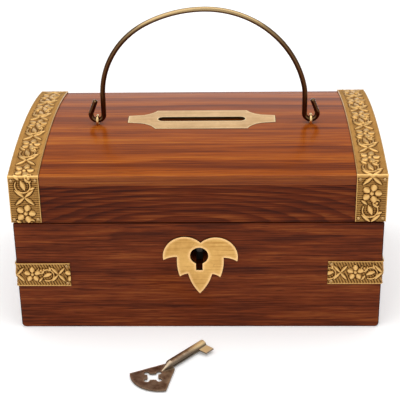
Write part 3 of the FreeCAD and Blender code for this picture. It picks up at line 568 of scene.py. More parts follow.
@dataclass(frozen=True)
class WireBrass:
    """Drawn brass wire that has gone brown, brighter where it is handled, with painted shade on its inner
    side and a painted highlight line along its front.

    Attributes:
        name: Name of the material.
        bright: Linear colour of the handled metal.
        brown: Linear colour of the tarnish.
        gloss: Lowest roughness.
        rubbed_from: Height at which the handled part starts, in metres.
        rubbed_to: Height at which it is fully rubbed.
        centre: Point round which the wire bends. The side that faces it is kept brown, as painted shade.
        front: Direction that the painted highlight line along the wire faces.
    """

    GRIT_DEPTH: ClassVar[float] = 0.006 * MM
    GLOSS_RANGE: ClassVar[float] = 0.12
    RUB_REACH: ClassVar[float] = 0.3 * MM

    name: str = "wire_brass"
    bright: Colour = (0.42, 0.295, 0.145)
    brown: Colour = (0.052, 0.0180, 0.0055)
    gloss: float = 0.10
    rubbed_from: float = 111.0 * MM
    rubbed_to: float = 129.0 * MM
    centre: Point = (2.0 * MM, -3.8 * MM, 85.0 * MM)
    front: Point = (0.0, -0.84, 0.54)

    def material(self) -> Material:
        """Make the material: a painted highlight line, painted shade on the inner side, height and slow
        noise mix the colours, fine noise roughens.

        Returns:
            The material.
        """
        graph = FinishGraph(self.name)
        cloud = graph.noise(120.0, 4.0)
        fine = graph.noise(1500.0, 3.0)
        place = graph.coordinates()
        height = graph.part(place, "Z")
        handled = graph.math("POWER", graph.band(height, self.rubbed_from, self.rubbed_to), 1.6)
        patchy = graph.math("MULTIPLY", graph.math("SUBTRACT", cloud, 0.5), 0.4)
        # painted shade: the side of the wire that faces the bend's centre keeps the brown
        outward = graph.vector("NORMALIZE", graph.vector("SUBTRACT", place, self.centre))
        outside = graph.band(graph.facing(outward), -0.45, 0.35, 0.15, 1.0)
        rubbed = graph.math("MULTIPLY", graph.math("ADD", patchy, handled), outside)
        # painted highlight: a light line along the wire where it faces the front
        along = graph.band(height, 0.8 * self.rubbed_from, self.rubbed_to, 0.26, 0.75)
        line = graph.math("MULTIPLY", graph.band(graph.facing(self.front), 0.84, 0.99), along)
        rubbed = graph.math("ADD", graph.band(rubbed, 0.0, 1.0), line)
        colour = graph.mix(graph.band(rubbed, 0.0, 1.0), self.brown, self.bright)
        colour = graph.mix(graph.edges(self.RUB_REACH), colour, tint(self.bright, 1.3), 0.7)
        return graph.shade(Base_Color=colour, Metallic=1.0, Normal=graph.bump(fine, self.GRIT_DEPTH, 0.3),
                           Roughness=graph.spread(fine, self.gloss, self.gloss + self.GLOSS_RANGE))


@dataclass(frozen=True)
class KeyBrass:
    """Pressed brass of the key: brown and blotched, with pale rims and a golden bit.

    Attributes:
        bit: Point at the key's bit, which the lock keeps bright.
        name: Name of the material.
        reach: Distance from that point at which the gold ends, in metres.
        gold: Linear colour at the bit.
        pale: Linear colour of the rims and rubbed blotches.
        brown: Linear colour of the tarnish.
    """

    BLOTCH_DEPTH: ClassVar[float] = 0.08 * MM
    RIM_REACH: ClassVar[float] = 1.6 * MM

    bit: Point
    name: str = "key_brass"
    reach: float = 11.0 * MM
    gold: Colour = (0.92, 0.69, 0.35)
    pale: Colour = (0.58, 0.47, 0.33)
    brown: Colour = (0.24, 0.155, 0.10)

    def material(self) -> Material:
        """Make the material: noise blotches, then gold that fades from the bit, then rims and painted shade
        on the flanks that turn from up.

        Returns:
            The material.
        """
        graph = FinishGraph(self.name)
        blotch = graph.noise(260.0, 5.0, 0.6)
        fine = graph.noise(1500.0, 3.0)
        away = graph.vector("DISTANCE", graph.coordinates(), self.bit)
        at_bit = graph.band(away, self.reach, 0.4 * self.reach)
        colour = graph.mix(graph.band(blotch, 0.42, 0.72), self.brown, self.pale)
        colour = graph.mix(at_bit, colour, self.gold)
        colour = graph.mix(graph.edges(self.RIM_REACH, 0.12), colour, tint(self.pale, 1.4), 0.7)
        # painted shade: flanks and undersides that turn from up are darkened
        flank = graph.band(graph.facing(UP), 0.86, 0.45, 0.0, 0.88)
        colour = graph.mix(flank, colour, tint(self.brown, 0.25))
        return graph.shade(Base_Color=colour, Metallic=graph.band(at_bit, 0.0, 1.0, 1.0, 0.5),
                           Normal=graph.bump(blotch, self.BLOTCH_DEPTH, 0.5),
                           Roughness=graph.spread(fine, 0.3, 0.46))


@dataclass(frozen=True)
class LockSteel:
    """Plain steel of the lock: grey, brushed, with faint brown spots.

    Attributes:
        name: Name of the material.
        grey: Linear colour of the clean steel.
        rust: Linear colour of the spots.
    """

    BRUSH_DEPTH: ClassVar[float] = 0.01 * MM

    name: str = "lock_steel"
    grey: Colour = (0.20, 0.19, 0.18)
    rust: Colour = (0.07, 0.04, 0.022)

    def material(self) -> Material:
        """Make the material: brushed noise for gloss and thresholded noise for the spots.

        Returns:
            The material.
        """
        graph = FinishGraph(self.name)
        brushed = graph.noise((120.0, 2500.0, 2500.0), 3.0)
        spots = graph.band(graph.noise(380.0, 4.0), 0.56, 0.75)
        return graph.shade(Base_Color=graph.mix(spots, self.grey, self.rust, 0.5), Metallic=1.0,
                           Roughness=graph.spread(brushed, 0.28, 0.5),
                           Normal=graph.bump(brushed, self.BRUSH_DEPTH, 0.4))


def dress(node: str, material: Material) -> Piece:
    """Give a CAD node one material.

    Args:
        node: Name of the node.
        material: Its finish.

    Returns:
        The node's object.
    """
    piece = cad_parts[node]
    piece.data.materials.clear()
    piece.data.materials.append(material)
    return piece


def mesh_object(name: str, points: np.ndarray, faces: Sequence[Sequence[int]], material: Material,
                smooth: bool = True) -> Piece:
    """Make a mesh object at the origin.

    Args:
        name: Name of the piece.
        points: Array of points, one row each, in metres.
        faces: Lists of point numbers, seen anticlockwise from outside.
        material: Its finish.
        smooth: Whether faces are shaded smooth.

    Returns:
        The linked object.
    """
    mesh = bpy.data.meshes.new(name)
    mesh.from_pydata(points.reshape(-1, 3).tolist(), [], faces)
    mesh.polygons.foreach_set("use_smooth", np.full(len(mesh.polygons), smooth))
    mesh.materials.append(material)
    mesh.validate()
    mesh.update()
    piece = bpy.data.objects.new(name, mesh)
    bpy.context.scene.collection.objects.link(piece)
    return piece


def ring_faces(stations: int, around: int, flip: bool = False) -> list[list[int]]:
    """Return the quads between rings of points, and a cap on the first and last ring.

    Args:
        stations: Number of rings.
        around: Points in each ring.
        flip: Turns the faces round.

    Returns:
        Lists of point numbers.
    """
    rows = np.arange(stations - 1)[:, None] * around
    columns = np.arange(around)[None, :]
    beside = (columns + 1) % around
    corners = (rows + columns, rows + beside, rows + around + beside, rows + around + columns)
    quads = np.stack(np.broadcast_arrays(*corners), axis=-1).reshape(-1, 4)
    first = list(range(around))
    last = [(stations - 1) * around + i for i in first]
    faces = quads.tolist() + [first[::-1], last]
    return [face[::-1] for face in faces] if flip else faces


def arc_points(centre: Sequence[float], radius: float, start: float, end: float, count: int) -> np.ndarray:
    """Return points on a circle in a plane, from one angle to another, as (across, up) rows."""
    angles = np.linspace(start, end, count)
    return np.stack((centre[0] + radius * np.cos(angles), centre[1] + radius * np.sin(angles)), axis=-1)


def run_lengths(path: np.ndarray) -> np.ndarray:
    """Return the length run along a path at each of its points."""
    return np.concatenate(([0.0], np.cumsum(np.linalg.norm(np.diff(path, axis=0), axis=1))))


def resample(path: np.ndarray, step: float) -> tuple[np.ndarray, np.ndarray]:
    """Space a path's points evenly.

    Args:
        path: Rows of points.
        step: Wanted spacing.

    Returns:
        The new points and the length run at each.
    """
    run = run_lengths(path)
    lengths = np.linspace(0.0, run[-1], max(2, int(round(run[-1] / step)) + 1))
    points = np.stack([np.interp(lengths, run, path[:, axis]) for axis in range(path.shape[1])], axis=-1)
    return points, lengths


def left_normals(points: np.ndarray) -> np.ndarray:
    """Return the unit normals on the left of a path in a plane: its tangent turned a quarter.

    Args:
        points: Rows of points.

    Returns:
        Rows of normals.
    """
    tangent = np.gradient(points, axis=0)
    tangent /= np.linalg.norm(tangent, axis=1, keepdims=True)
    return np.stack((-tangent[:, 1], tangent[:, 0]), axis=-1)


@dataclass(frozen=True)
class Leaf:
    """A leaf or petal of the embossed work, in millimetres along and across the strip.

    Attributes:
        root: Where it starts.
        angle: Its direction in radians.
        length: Its length.
        breadth: Its greatest half-width.
        taper: Power of the sine in its outline: the lower, the blunter the ends.
    """

    root: tuple[float, float]
    angle: float
    length: float
    breadth: float
    taper: float = 0.8

    def height(self, s: np.ndarray, t: np.ndarray) -> np.ndarray:
        """Return 1 on the middle line, 0 at the edge, and less outside.

        The half-width is the breadth times a power of the sine of the share of the length, and the
        value falls with the square of the distance from the middle line.

        Args:
            s: Lengths along the strip.
            t: Lengths across it.

        Returns:
            The value at each point, not below -1.
        """
        right, up = math.cos(self.angle), math.sin(self.angle)
        along = (s - self.root[0]) * right + (t - self.root[1]) * up
        across = (t - self.root[1]) * right - (s - self.root[0]) * up
        share = np.clip(along / self.length, 0.0, 1.0)
        half = self.breadth * np.sin(np.pi * share) ** self.taper + LEAF_TIP
        beyond = np.maximum(np.abs(along - self.length / 2) - self.length / 2, 0.0)
        value = 1.0 - (across / half) ** 2
        outside = -np.hypot(np.maximum(np.abs(across) - half, 0.0), beyond) / GROOVE_REACH
        return np.where((value > 0) & (beyond == 0), value, np.maximum(outside, -1.0))


@dataclass(frozen=True)
class Stem:
    """A curling stem of the embossed work, or a round boss where the radius is 0, in millimetres.

    Attributes:
        centre: Centre of its arc.
        breadth: Half-width of the ridge.
        radius: Radius of the arc.
        start: Angle where it starts, in radians.
        sweep: Angle that it covers.
    """

    centre: tuple[float, float]
    breadth: float
    radius: float = 0.0
    start: float = 0.0
    sweep: float = 2 * math.pi

    def height(self, s: np.ndarray, t: np.ndarray) -> np.ndarray:
        """Return 1 on the ridge, 0 at its edge, and less outside.

        The value falls with the square of the distance from the nearest point of the arc.

        Args:
            s: Lengths along the strip.
            t: Lengths across it.

        Returns:
            The value at each point, not below -1.
        """
        away = np.hypot(s - self.centre[0], t - self.centre[1])
        turn = np.mod(np.arctan2(t - self.centre[1], s - self.centre[0]) - self.start, 2 * np.pi)
        gap = np.minimum(np.maximum(turn - self.sweep, 0.0), 2 * np.pi - turn)
        distance = np.hypot(away - self.radius, np.where(turn > self.sweep, gap * self.radius, 0.0))
        return np.where(distance < self.breadth, 1.0 - (distance / self.breadth) ** 2,
                        np.maximum((self.breadth - distance) / GROOVE_REACH, -1.0))


@dataclass
class FloralRelief:
    """Height of the embossed work on a strip of brass, a repeat of traditional motifs.

    Lengths are in millimetres: s runs along the strip and t across it. Each repeat holds a
    flower of five broad petals, a crossing of four leaves and a bud in a curling stem. Hatched
    lines fill the ground and a plain bead runs along both edges.

    Attributes:
        width: Width of the strip.
        start: Where the first flower stands.
        folds: Lengths along the strip at which it is folded, with a burnished ridge.
        hatch_pitch: Spacing of the hatched lines.
        hatch_lean: How far a line moves along the strip for each step across it.
        drawn: Width of the strip for which the motifs are drawn.
        repeat: Length of one repeat of the drawn strip.
        ground: Height of the ground between the motifs.
        peak: Height of the highest work.
        fullness: Power of a motif's rise: the lower, the fuller its flanks.
        groove: Depth of the groove round a motif.
        groove_at: Middle and reach of the groove, on the scale of a motif's value.
        rim: Width of the plain bead on each edge.
        bead: Height of the bead over the ground.
        hatch: Length of the deep hatched lines from the bead inward.
        hatch_fade: Length over which they fade.
        hatch_rest: Share of their depth that is left in the middle of the strip.
        line: Height of a hatched line from its foot.
        line_foot: Depth of its foot below the ground.
        crease: Half-width of the ridge on a fold.
    """

    width: float
    start: float
    folds: tuple[float, ...] = ()
    hatch_pitch: float = 0.85
    hatch_lean: float = 0.0
    drawn: float = 12.6
    repeat: float = 20.0
    ground: float = 0.34
    peak: float = 0.86
    fullness: float = 0.85
    groove: float = 0.24
    groove_at: float = 0.35
    rim: float = 0.5
    bead: float = 0.42
    hatch: float = 1.7
    hatch_fade: float = 0.4
    hatch_rest: float = 0.55
    line: float = 0.42
    line_foot: float = 0.19
    crease: float = 0.32

    def motifs(self) -> list[Leaf | Stem]:
        """Draw one repeat: the flower at 0, then the crossing, then the bud with its stems.

        Returns:
            The leaves and stems.
        """
        middle = self.drawn / 2
        petal_root = 1.2
        petals = [Leaf((petal_root * math.cos(a), middle + petal_root * math.sin(a)), a, 2.9, 1.42, 0.45)
                  for a in np.arange(5) * 0.4 * math.pi + 0.3]
        lean = 0.86
        crossing = [Leaf((7.3, middle), a, 5.1, 0.8) for a in (lean, math.pi - lean, math.pi + lean, -lean)]
        x, y = 12.6, middle - 0.4
        leaves = [Leaf((x - 2.2, y + 0.9), -0.36, 4.8, 1.15), Leaf((x + 2.5, y - 1.2), -0.9, 3.2, 0.7),
                  Leaf((x - 1.8, y + 2.6), 1.2, 2.5, 0.62)]
        berry = (x + 3.1, y + 2.6)
        stems = [Stem((x, y), 0.36, 3.1, 0.5, 4.7), Stem(berry, 0.34, 1.5, 2.6, 4.4)]
        bosses = [Stem((0.0, middle), 1.0), Stem(berry, 0.7)]
        return petals + crossing + leaves + stems + bosses

    def work(self, s: np.ndarray, t: np.ndarray) -> np.ndarray:
        """Return the value of the highest motif, with the neighbouring repeats.

        Args:
            s: Lengths along the strip.
            t: Lengths across it.

        Returns:
            The value at each point, from -1 to 1.
        """
        unit = self.width / self.drawn
        local = np.mod((s - self.start) / unit + self.repeat / 4, self.repeat) - self.repeat / 4
        return np.max([motif.height(local + turn * self.repeat, t / unit)
                       for turn in (-1, 0, 1) for motif in self.motifs()], axis=0)

    def height(self, s: np.ndarray, t: np.ndarray) -> np.ndarray:
        """Return the height of the sheet in millimetres.

        The motifs stand on the ground with a groove round each. The ground carries hatched lines,
        deeper near the edges, and a half-round bead closes it.

        Args:
            s: Lengths along the strip.
            t: Lengths across it.

        Returns:
            The height at each point.
        """
        shape = self.work(s, t)
        raised = self.ground + (self.peak - self.ground) * np.clip(shape, 0.0, 1.0) ** self.fullness
        groove = self.groove * np.exp(-((shape + self.groove_at) / self.groove_at) ** 2)
        edge = np.minimum(t, self.width - t)
        wave = 0.5 + 0.5 * np.cos(2 * np.pi * (s + self.hatch_lean * t) / self.hatch_pitch)
        near = np.clip((self.rim + self.hatch - edge) / self.hatch_fade, 0.0, 1.0)
        hatched = (self.line * wave - self.line_foot) * (self.hatch_rest + (1 - self.hatch_rest) * near)
        field = np.where(shape > 0, raised, self.ground - groove + hatched)
        half_rim = self.rim / 2
        round_bead = np.sqrt(np.clip(1 - ((edge - half_rim) / half_rim) ** 2, 0.0, 1.0))
        sheet = np.where(edge < self.rim, self.ground + self.bead * round_bead, field)
        for fold in self.folds:
            sheet = sheet + np.exp(-((s - fold) / self.crease) ** 2) * (self.peak - sheet)
        return sheet


@dataclass
class EmbossedStrip:
    """A strip of embossed sheet that follows a path, standing on what is behind it.

    Attributes:
        node: CAD node that it stands for.
        body: Body that it rides on.
        path: Rows of points on the wood, in the plane in which the strip bends.
        low: Start of the strip's width.
        high: End of the strip's width.
        width_axis: Axis along which the width runs.
        relief: Its embossed work.
        step: Spacing of the grid in metres.
    """

    node: str
    body: str
    path: np.ndarray
    low: float
    high: float
    width_axis: WidthAxis
    relief: FloralRelief
    step: float = 0.17 * MM

    def build(self, material: Material) -> Piece:
        """Build the strip: the path's point plus its normal times the relief's height.

        Args:
            material: The embossed finish.

        Returns:
            The piece.
        """
        points, run = resample(self.path, self.step)
        normal = left_normals(points)
        width = self.high - self.low
        across = np.linspace(0.0, width, int(round(width / self.step)) + 1)
        height = self.relief.height(*np.meshgrid(run / MM, across / MM, indexing="ij"))
        outer = points[:, None, :] + normal[:, None, :] * (height * MM)[..., None]
        inner = np.repeat(points[:, None, :], 2, axis=1)
        plane = np.concatenate((outer, inner), axis=1)
        grid = np.empty((*plane.shape[:2], 3))
        grid[..., [axis for axis in range(3) if axis != self.width_axis.value]] = plane
        grid[..., self.width_axis.value] = np.concatenate((self.low + across, [self.high, self.low]))
        faces = ring_faces(len(points), plane.shape[1], self.width_axis is WidthAxis.Z)
        piece = mesh_object(f"{self.node}_embossed", grid, faces, material)
        values = np.concatenate((height / self.relief.peak, np.zeros((len(points), 2))), axis=1)
        store = piece.data.attributes.new(RELIEF, "FLOAT", "POINT")
        store.data.foreach_set("value", values.astype(np.float32).ravel())
        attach(piece, self.body)
        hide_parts(self.node)
        return piece


@dataclass
class LidStraps:
    """The two embossed straps over the ends of the lid.

    Attributes:
        material: The embossed finish.
        rise: Height of the dome over the edge where it starts.
        fold: Radius of the folds at the dome's edges.
        back_end: Lower end of the strap at the back, above the lid's rim.
        fold_points: Points on each fold.
        dome_points: Points on the dome.
        flowers: Place of the first flower on the left and the right strap, in millimetres.
    """

    material: Material
    rise: float = 5.1 * MM
    fold: float = 0.5 * MM
    back_end: float = 3.3 * MM
    fold_points: int = 8
    dome_points: int = 160
    flowers: tuple[float, float] = (3.9, 12.4)

    def path(self) -> np.ndarray:
        """Return the line (y, z) up the front, over the dome and down the back.

        The dome is a circle through its two edges and its top, and each fold is a quarter-like arc
        whose centre lies the fold's radius inside both surfaces.

        Returns:
            Rows of points.
        """
        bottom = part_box("lid_strap_left")[0].z
        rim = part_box("lid_front")[0].z
        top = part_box("lid_top")[1].z
        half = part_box("lid_top")[1].y
        radius = (half ** 2 + self.rise ** 2) / (2 * self.rise)
        centre = top - radius
        fold_y = half - self.fold
        fold_z = centre + math.sqrt((radius - self.fold) ** 2 - fold_y ** 2)
        lean = math.atan2(fold_z - centre, fold_y)
        back_fold = arc_points((fold_y, fold_z), self.fold, 0.0, lean, self.fold_points)
        dome = arc_points((0.0, centre), radius, lean, math.pi - lean, self.dome_points)
        front_fold = arc_points((-fold_y, fold_z), self.fold, math.pi - lean, math.pi, self.fold_points)
        front_end = np.array([[-half, bottom]])
        back_end = np.array([[half, rim + self.back_end]])
        return np.concatenate((back_end, back_fold, dome[1:-1], front_fold, front_end))[::-1]

    def build(self) -> list[Piece]:
        """Build both straps.

        Returns:
            The pieces.
        """
        path = self.path()
        run = run_lengths(path) / MM
        fold_middle = self.fold_points // 2 + 1
        folds = (run[fold_middle], run[-1 - fold_middle])
        pieces = []
        for hand, flower in zip(("left", "right"), self.flowers):
            node = f"lid_strap_{hand}"
            low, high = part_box(node)
            relief = FloralRelief((high.x - low.x) / MM, flower, folds)
            strip = EmbossedStrip(node, "lid", path, low.x, high.x, WidthAxis.X, relief)
            pieces.append(strip.build(self.material))
        return pieces


@dataclass
class CornerBrackets:
    """The four embossed brackets round the corners of the base.

    Attributes:
        material: The embossed finish.
        fold: Radius of the wood's corner.
        fold_points: Points on the corner.
        leg: Length of each leg from the corner.
        flower: Place of the first flower from the front or back end, in millimetres.
        hatch_pitch: Spacing of the hatched lines in millimetres.
        hatch_lean: How far a hatched line moves along the bracket for each step up.
    """

    material: Material
    fold: float = 0.5 * MM
    fold_points: int = 8
    leg: float = 22.4 * MM
    flower: float = 16.0
    hatch_pitch: float = 1.2
    hatch_lean: float = -0.45

    def path(self, side: int, end: int) -> np.ndarray:
        """Return the line (x, y) along the long wall, round the corner and along the end wall.

        Args:
            side: -1 for left, 1 for right.
            end: -1 for the front, 1 for the back.

        Returns:
            Rows of points, in the order that keeps the outside on their left.
        """
        half_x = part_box("base_front")[1].x
        half_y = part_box("base_back")[1].y
        centre = (half_x - self.fold, half_y - self.fold)
        corner = arc_points(centre, self.fold, math.pi / 2, 0.0, self.fold_points)
        line = np.concatenate(([[half_x - self.leg, half_y]], corner, [[half_x, half_y - self.leg]]))
        line = line * (side, end)
        return line if side * end > 0 else line[::-1]

    def build(self) -> list[Piece]:
        """Build the four brackets.

        Returns:
            The pieces.
        """
        pieces = []
        for side, hand in ((-1, "left"), (1, "right")):
            for end, place in ((-1, "front"), (1, "back")):
                node = f"corner_{place}_{hand}"
                low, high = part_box(node)
                relief = FloralRelief((high.z - low.z) / MM, self.flower, hatch_pitch=self.hatch_pitch,
                                      hatch_lean=self.hatch_lean)
                strip = EmbossedStrip(node, "base", self.path(side, end), low.z, high.z, WidthAxis.Z, relief)
                pieces.append(strip.build(self.material))
        return pieces


@dataclass
class BailHandle:
    """The bent wire handle: a flattened arch on two legs that end in open hooks.

    Attributes:
        material: The wire's finish.
        wire: Diameter of the wire.
        hook_radius: Radius of the hook's bend.
        tip_rise: Height of the hook's tip above the eyes.
        tip_out: Distance of the tip outward from the eye.
        leg_rise: Height at which the arch starts.
        shoulders: Radii of the arch's left and right shoulder.
        crown_x: Place of the arch's top, from the middle between the eyes.
        arc_count: Points on each arc of the line.
        around: Points round the wire.
        step: Spacing along the wire.
        end_round: Length of the rounded ends.
        end_least: Least share, squared, of the wire's radius at its very ends.
        marks: Depth of the plier marks on the right tip.
        mark_pitch: Spacing of the marks.
        marked: Length of the marked tip.
    """

    material: Material
    wire: float = 2.2 * MM
    hook_radius: float = 2.75 * MM
    tip_rise: float = 9.4 * MM
    tip_out: float = 0.4 * MM
    leg_rise: float = 11.35 * MM
    shoulders: tuple[float, float] = (35.7 * MM, 18.0 * MM)
    crown_x: float = 0.9 * MM
    arc_count: int = 60
    around: int = 28
    step: float = 0.3 * MM
    end_round: float = 0.55 * MM
    end_least: float = 0.05
    marks: float = 0.154 * MM
    mark_pitch: float = 1.15 * MM
    marked: float = 5.5 * MM

    def half_path(self, eye: float, crown: float, top: float, shoulder: float) -> np.ndarray:
        """Return one half of the wire's line (outward, up) from the eye's height, tip first.

        The tip is a tangent to the hook's circle, the leg is upright, and the arch is a shoulder
        arc that touches a wider crown arc, level at its top.

        Args:
            eye: Distance of the eye from the middle.
            crown: Height of the arch's top above the eyes.
            top: Distance of the arch's top from the middle, outward.
            shoulder: Radius of the shoulder.

        Returns:
            Rows of points.
        """
        up = self.tip_rise - self.hook_radius
        lean = math.atan2(up, self.tip_out) - math.acos(self.hook_radius / math.hypot(self.tip_out, up))
        tip = np.array([[eye + self.tip_out, self.tip_rise]])
        hook = arc_points((eye, self.hook_radius), self.hook_radius, lean, -math.pi, self.arc_count)
        aside = eye - self.hook_radius - shoulder - top
        below = self.leg_rise - crown
        radius = (shoulder ** 2 - aside ** 2 - below ** 2) / (2 * (below + shoulder))
        join = math.atan2(below + radius, aside)
        bend = arc_points((top + aside, self.leg_rise), shoulder, 0.0, join, self.arc_count)
        arch = arc_points((top, crown - radius), radius, join, math.pi / 2, self.arc_count)
        return np.concatenate((tip, hook, bend, arch[1:]))

    def build(self) -> list[Piece]:
        """Build the handle: circles carried along the wire's line, with rounded ends.

        Returns:
            The piece.
        """
        low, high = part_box("bail_handle")
        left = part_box("handle_eye_left")
        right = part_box("handle_eye_right")
        middle = ((left[0] + left[1]) / 2 + (right[0] + right[1]) / 2) / 2
        eye = (right[0].x + right[1].x) / 2 - middle.x
        radius = self.wire / 2
        axis_z = low.z + radius
        crown = high.z - radius - axis_z
        right_half = self.half_path(eye, crown, self.crown_x, self.shoulders[1])
        left_half = self.half_path(eye, crown, -self.crown_x, self.shoulders[0])
        path = np.concatenate((right_half, left_half[-2::-1] * (-1, 1)))
        points, run = resample(path, self.step)
        normal = left_normals(points)
        from_end = np.clip(np.minimum(run, run[-1] - run) / self.end_round, 0, 1)
        thick = radius * np.sqrt(np.clip(1 - (1 - from_end) ** 2, self.end_least, 1))
        pinch = self.marks * (0.5 + 0.5 * np.cos(2 * np.pi * run / self.mark_pitch)) * (run < self.marked)
        angle = np.linspace(0, 2 * np.pi, self.around, endpoint=False)
        in_plane = (thick - pinch)[:, None] * np.cos(angle)
        ring = np.empty((len(points), self.around, 3))
        ring[..., 0] = middle.x + points[:, None, 0] + normal[:, None, 0] * in_plane
        ring[..., 1] = (low.y + high.y) / 2 + thick[:, None] * np.sin(angle)
        ring[..., 2] = axis_z + points[:, None, 1] + normal[:, None, 1] * in_plane
        piece = mesh_object("bail_handle_wire", ring, ring_faces(len(points), self.around), self.material)
        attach(piece, "handle")
        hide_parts("bail_handle")
        return [piece]


@dataclass
class Boards:
    """The boards of base and lid, each with its own cut of rosewood.

    Attributes:
        base_front: Finish of the front of the base.
        base_back: Finish of its back.
        lid_front: Finish of the front of the lid, with arched figure.
        lid_back: Finish of its back.
        lid_top: Finish of the domed plank, warmer and with more varnish.
        ends: Finish of the four end boards.
        bottom: Finish of the bottom board.
    """

    base_front: Rosewood = Rosewood("rosewood_base_front", Grain.ALONG_X, (0.03, 0.02), 3.1)
    base_back: Rosewood = Rosewood("rosewood_base_back", Grain.ALONG_X, (-0.02, 0.03), 7.7)
    lid_front: Rosewood = Rosewood(
        "rosewood_lid_front", Grain.ALONG_X, (-0.041, 0.0475), 11.3, arch=0.22, arch_at=-5.0 * MM,
        ring=2.1 * MM, dark=(0.045, 0.0066, 0.0010), middle=(0.140, 0.0215, 0.0028), warp=1.3,
        ring_depth=0.36, stretch=1.4, edge_shade=0.3)
    lid_back: Rosewood = Rosewood("rosewood_lid_back", Grain.ALONG_X, (0.02, 0.058), 15.9)
    lid_top: Rosewood = Rosewood(
        "rosewood_lid_top", Grain.ALONG_X, (-0.09, 0.03), 19.4, ring=13.0 * MM, dark=(0.125, 0.0198, 0.0014),
        middle=(0.325, 0.067, 0.0042), light=(0.505, 0.152, 0.0140), warp=1.6, wobble=0.2, ring_depth=0.32,
        contrast=1.1, stretch=2.2, sheen=0.0, coat=0.4, coat_haze=0.25, upright_shade=0.4, edge_shade=0.0)
    ends: Rosewood = Rosewood("rosewood_ends", Grain.ALONG_Y, (0.0, 0.02), 23.2)
    bottom: PlainBoard = PlainBoard()

    def build(self) -> list[Piece]:
        """Dress every board.

        Returns:
            The pieces.
        """
        finishes = {"base_front": self.base_front, "base_back": self.base_back, "lid_front": self.lid_front,
                    "lid_back": self.lid_back, "lid_top": self.lid_top, "base_bottom": self.bottom}
        pieces = [dress(node, finish.material()) for node, finish in finishes.items()]
        ends = self.ends.material()
        return pieces + [dress(node, ends) for node in ("base_left", "base_right", "lid_left", "lid_right")]


@dataclass
class Metalwork:
    """The plates, eyes, hinges, lock and key that keep their CAD shapes, and the solids under the looks.

    Attributes:
        wire: Finish of the handle.
        embossed: Finish of the straps and brackets.
        plate: Finish of the slot plate.
        leaf: Finish of the leaf escutcheon.
        hinge: Finish of the hinges and their screws.
        pin: Finish of the escutcheon pins.
        eye: Finish of the handle's eyes.
        steel: Finish of the lock, the strike and the nails.
        iron: Finish of the drill pin.
        bit_inset: Distance of the key's bit from the right and back of the key's box, and its height.
    """

    wire: Material
    embossed: Material
    plate: SheetBrass = SheetBrass("slot_plate_brass", (0.87, 0.575, 0.285), (0.48, 0.27, 0.10), gloss=0.34,
                                   tarnish=0.6, rim=1.4 * MM, face=UP, smudge=0.3)
    leaf: SheetBrass = SheetBrass("leaf_brass", (0.72, 0.43, 0.14), (0.42, 0.21, 0.05), gloss=0.3,
                                  tarnish=0.7, rim=2.2 * MM, face=(0.0, -1.0, 0.0), smudge=0.7)
    hinge: SheetBrass = SheetBrass("hinge_brass", (0.62, 0.42, 0.17), (0.28, 0.17, 0.06), gloss=0.34,
                                   tarnish=0.7)
    pin: SheetBrass = SheetBrass("pin_brass", (0.50, 0.29, 0.09), (0.2, 0.11, 0.03), gloss=0.36,
                                 tarnish=0.6)
    eye: SheetBrass = SheetBrass("eye_brass", (0.80, 0.56, 0.26), (0.30, 0.17, 0.06), gloss=0.16,
                                 tarnish=0.5)
    steel: LockSteel = LockSteel()
    iron: LockSteel = LockSteel("pin_iron", (0.045, 0.043, 0.042))
    bit_inset: Point = (2.0 * MM, 3.0 * MM, 2.0 * MM)

    def build(self) -> list[Piece]:
        """Dress the metal nodes: each takes the first finish whose start and end fit its name.

        Returns:
            The pieces.
        """
        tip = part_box("key")[1]
        aside, behind, height = self.bit_inset
        key = KeyBrass((tip.x - aside, tip.y - behind, height))
        steel = self.steel.material()
        finishes = (
            ("slot_plate", "", self.plate.material()),
            ("leaf_escutcheon", "", self.leaf.material()),
            ("key", "", key.material()),
            ("bail_handle", "", self.wire),
            ("handle_eye", "", self.eye.material()),
            ("hinge_", "", self.hinge.material()),
            ("lock_drill_pin", "", self.iron.material()),
            ("lock_", "", steel),
            ("strike_", "", steel),
            ("bottom_nails", "", steel),
            ("", "_pins", self.pin.material()),
            ("lid_strap", "", self.embossed),
            ("corner_", "", self.embossed),
        )
        pieces = []
        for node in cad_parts:
            fitting = [finish for start, end, finish in finishes
                       if node.startswith(start) and node.endswith(end)]
            pieces += [dress(node, finish) for finish in fitting[:1]]
        return pieces


@dataclass(frozen=True)
class Lamp:
    """A soft rectangular lamp.

    Attributes:
        name: Name of the lamp.
        place: Where it hangs.
        size: Width and height.
        power: Power in watts.
        aim: Point that it faces.
    """

    name: str
    place: Point
    size: tuple[float, float]
    power: float
    aim: Point = (0.0, 0.0, 50.0 * MM)

    def hang(self) -> None:
        """Hang the lamp in the scene, turned to its aim."""
        data = bpy.data.lights.new(self.name, "AREA")
        data.shape = "RECTANGLE"
        data.size, data.size_y = self.size
        data.energy = self.power
        lamp = bpy.data.objects.new(self.name, data)
        lamp.location = self.place
        lamp.rotation_euler = (Vector(self.aim) - Vector(self.place)).to_track_quat("-Z", "Y").to_euler()
        bpy.context.scene.collection.objects.link(lamp)


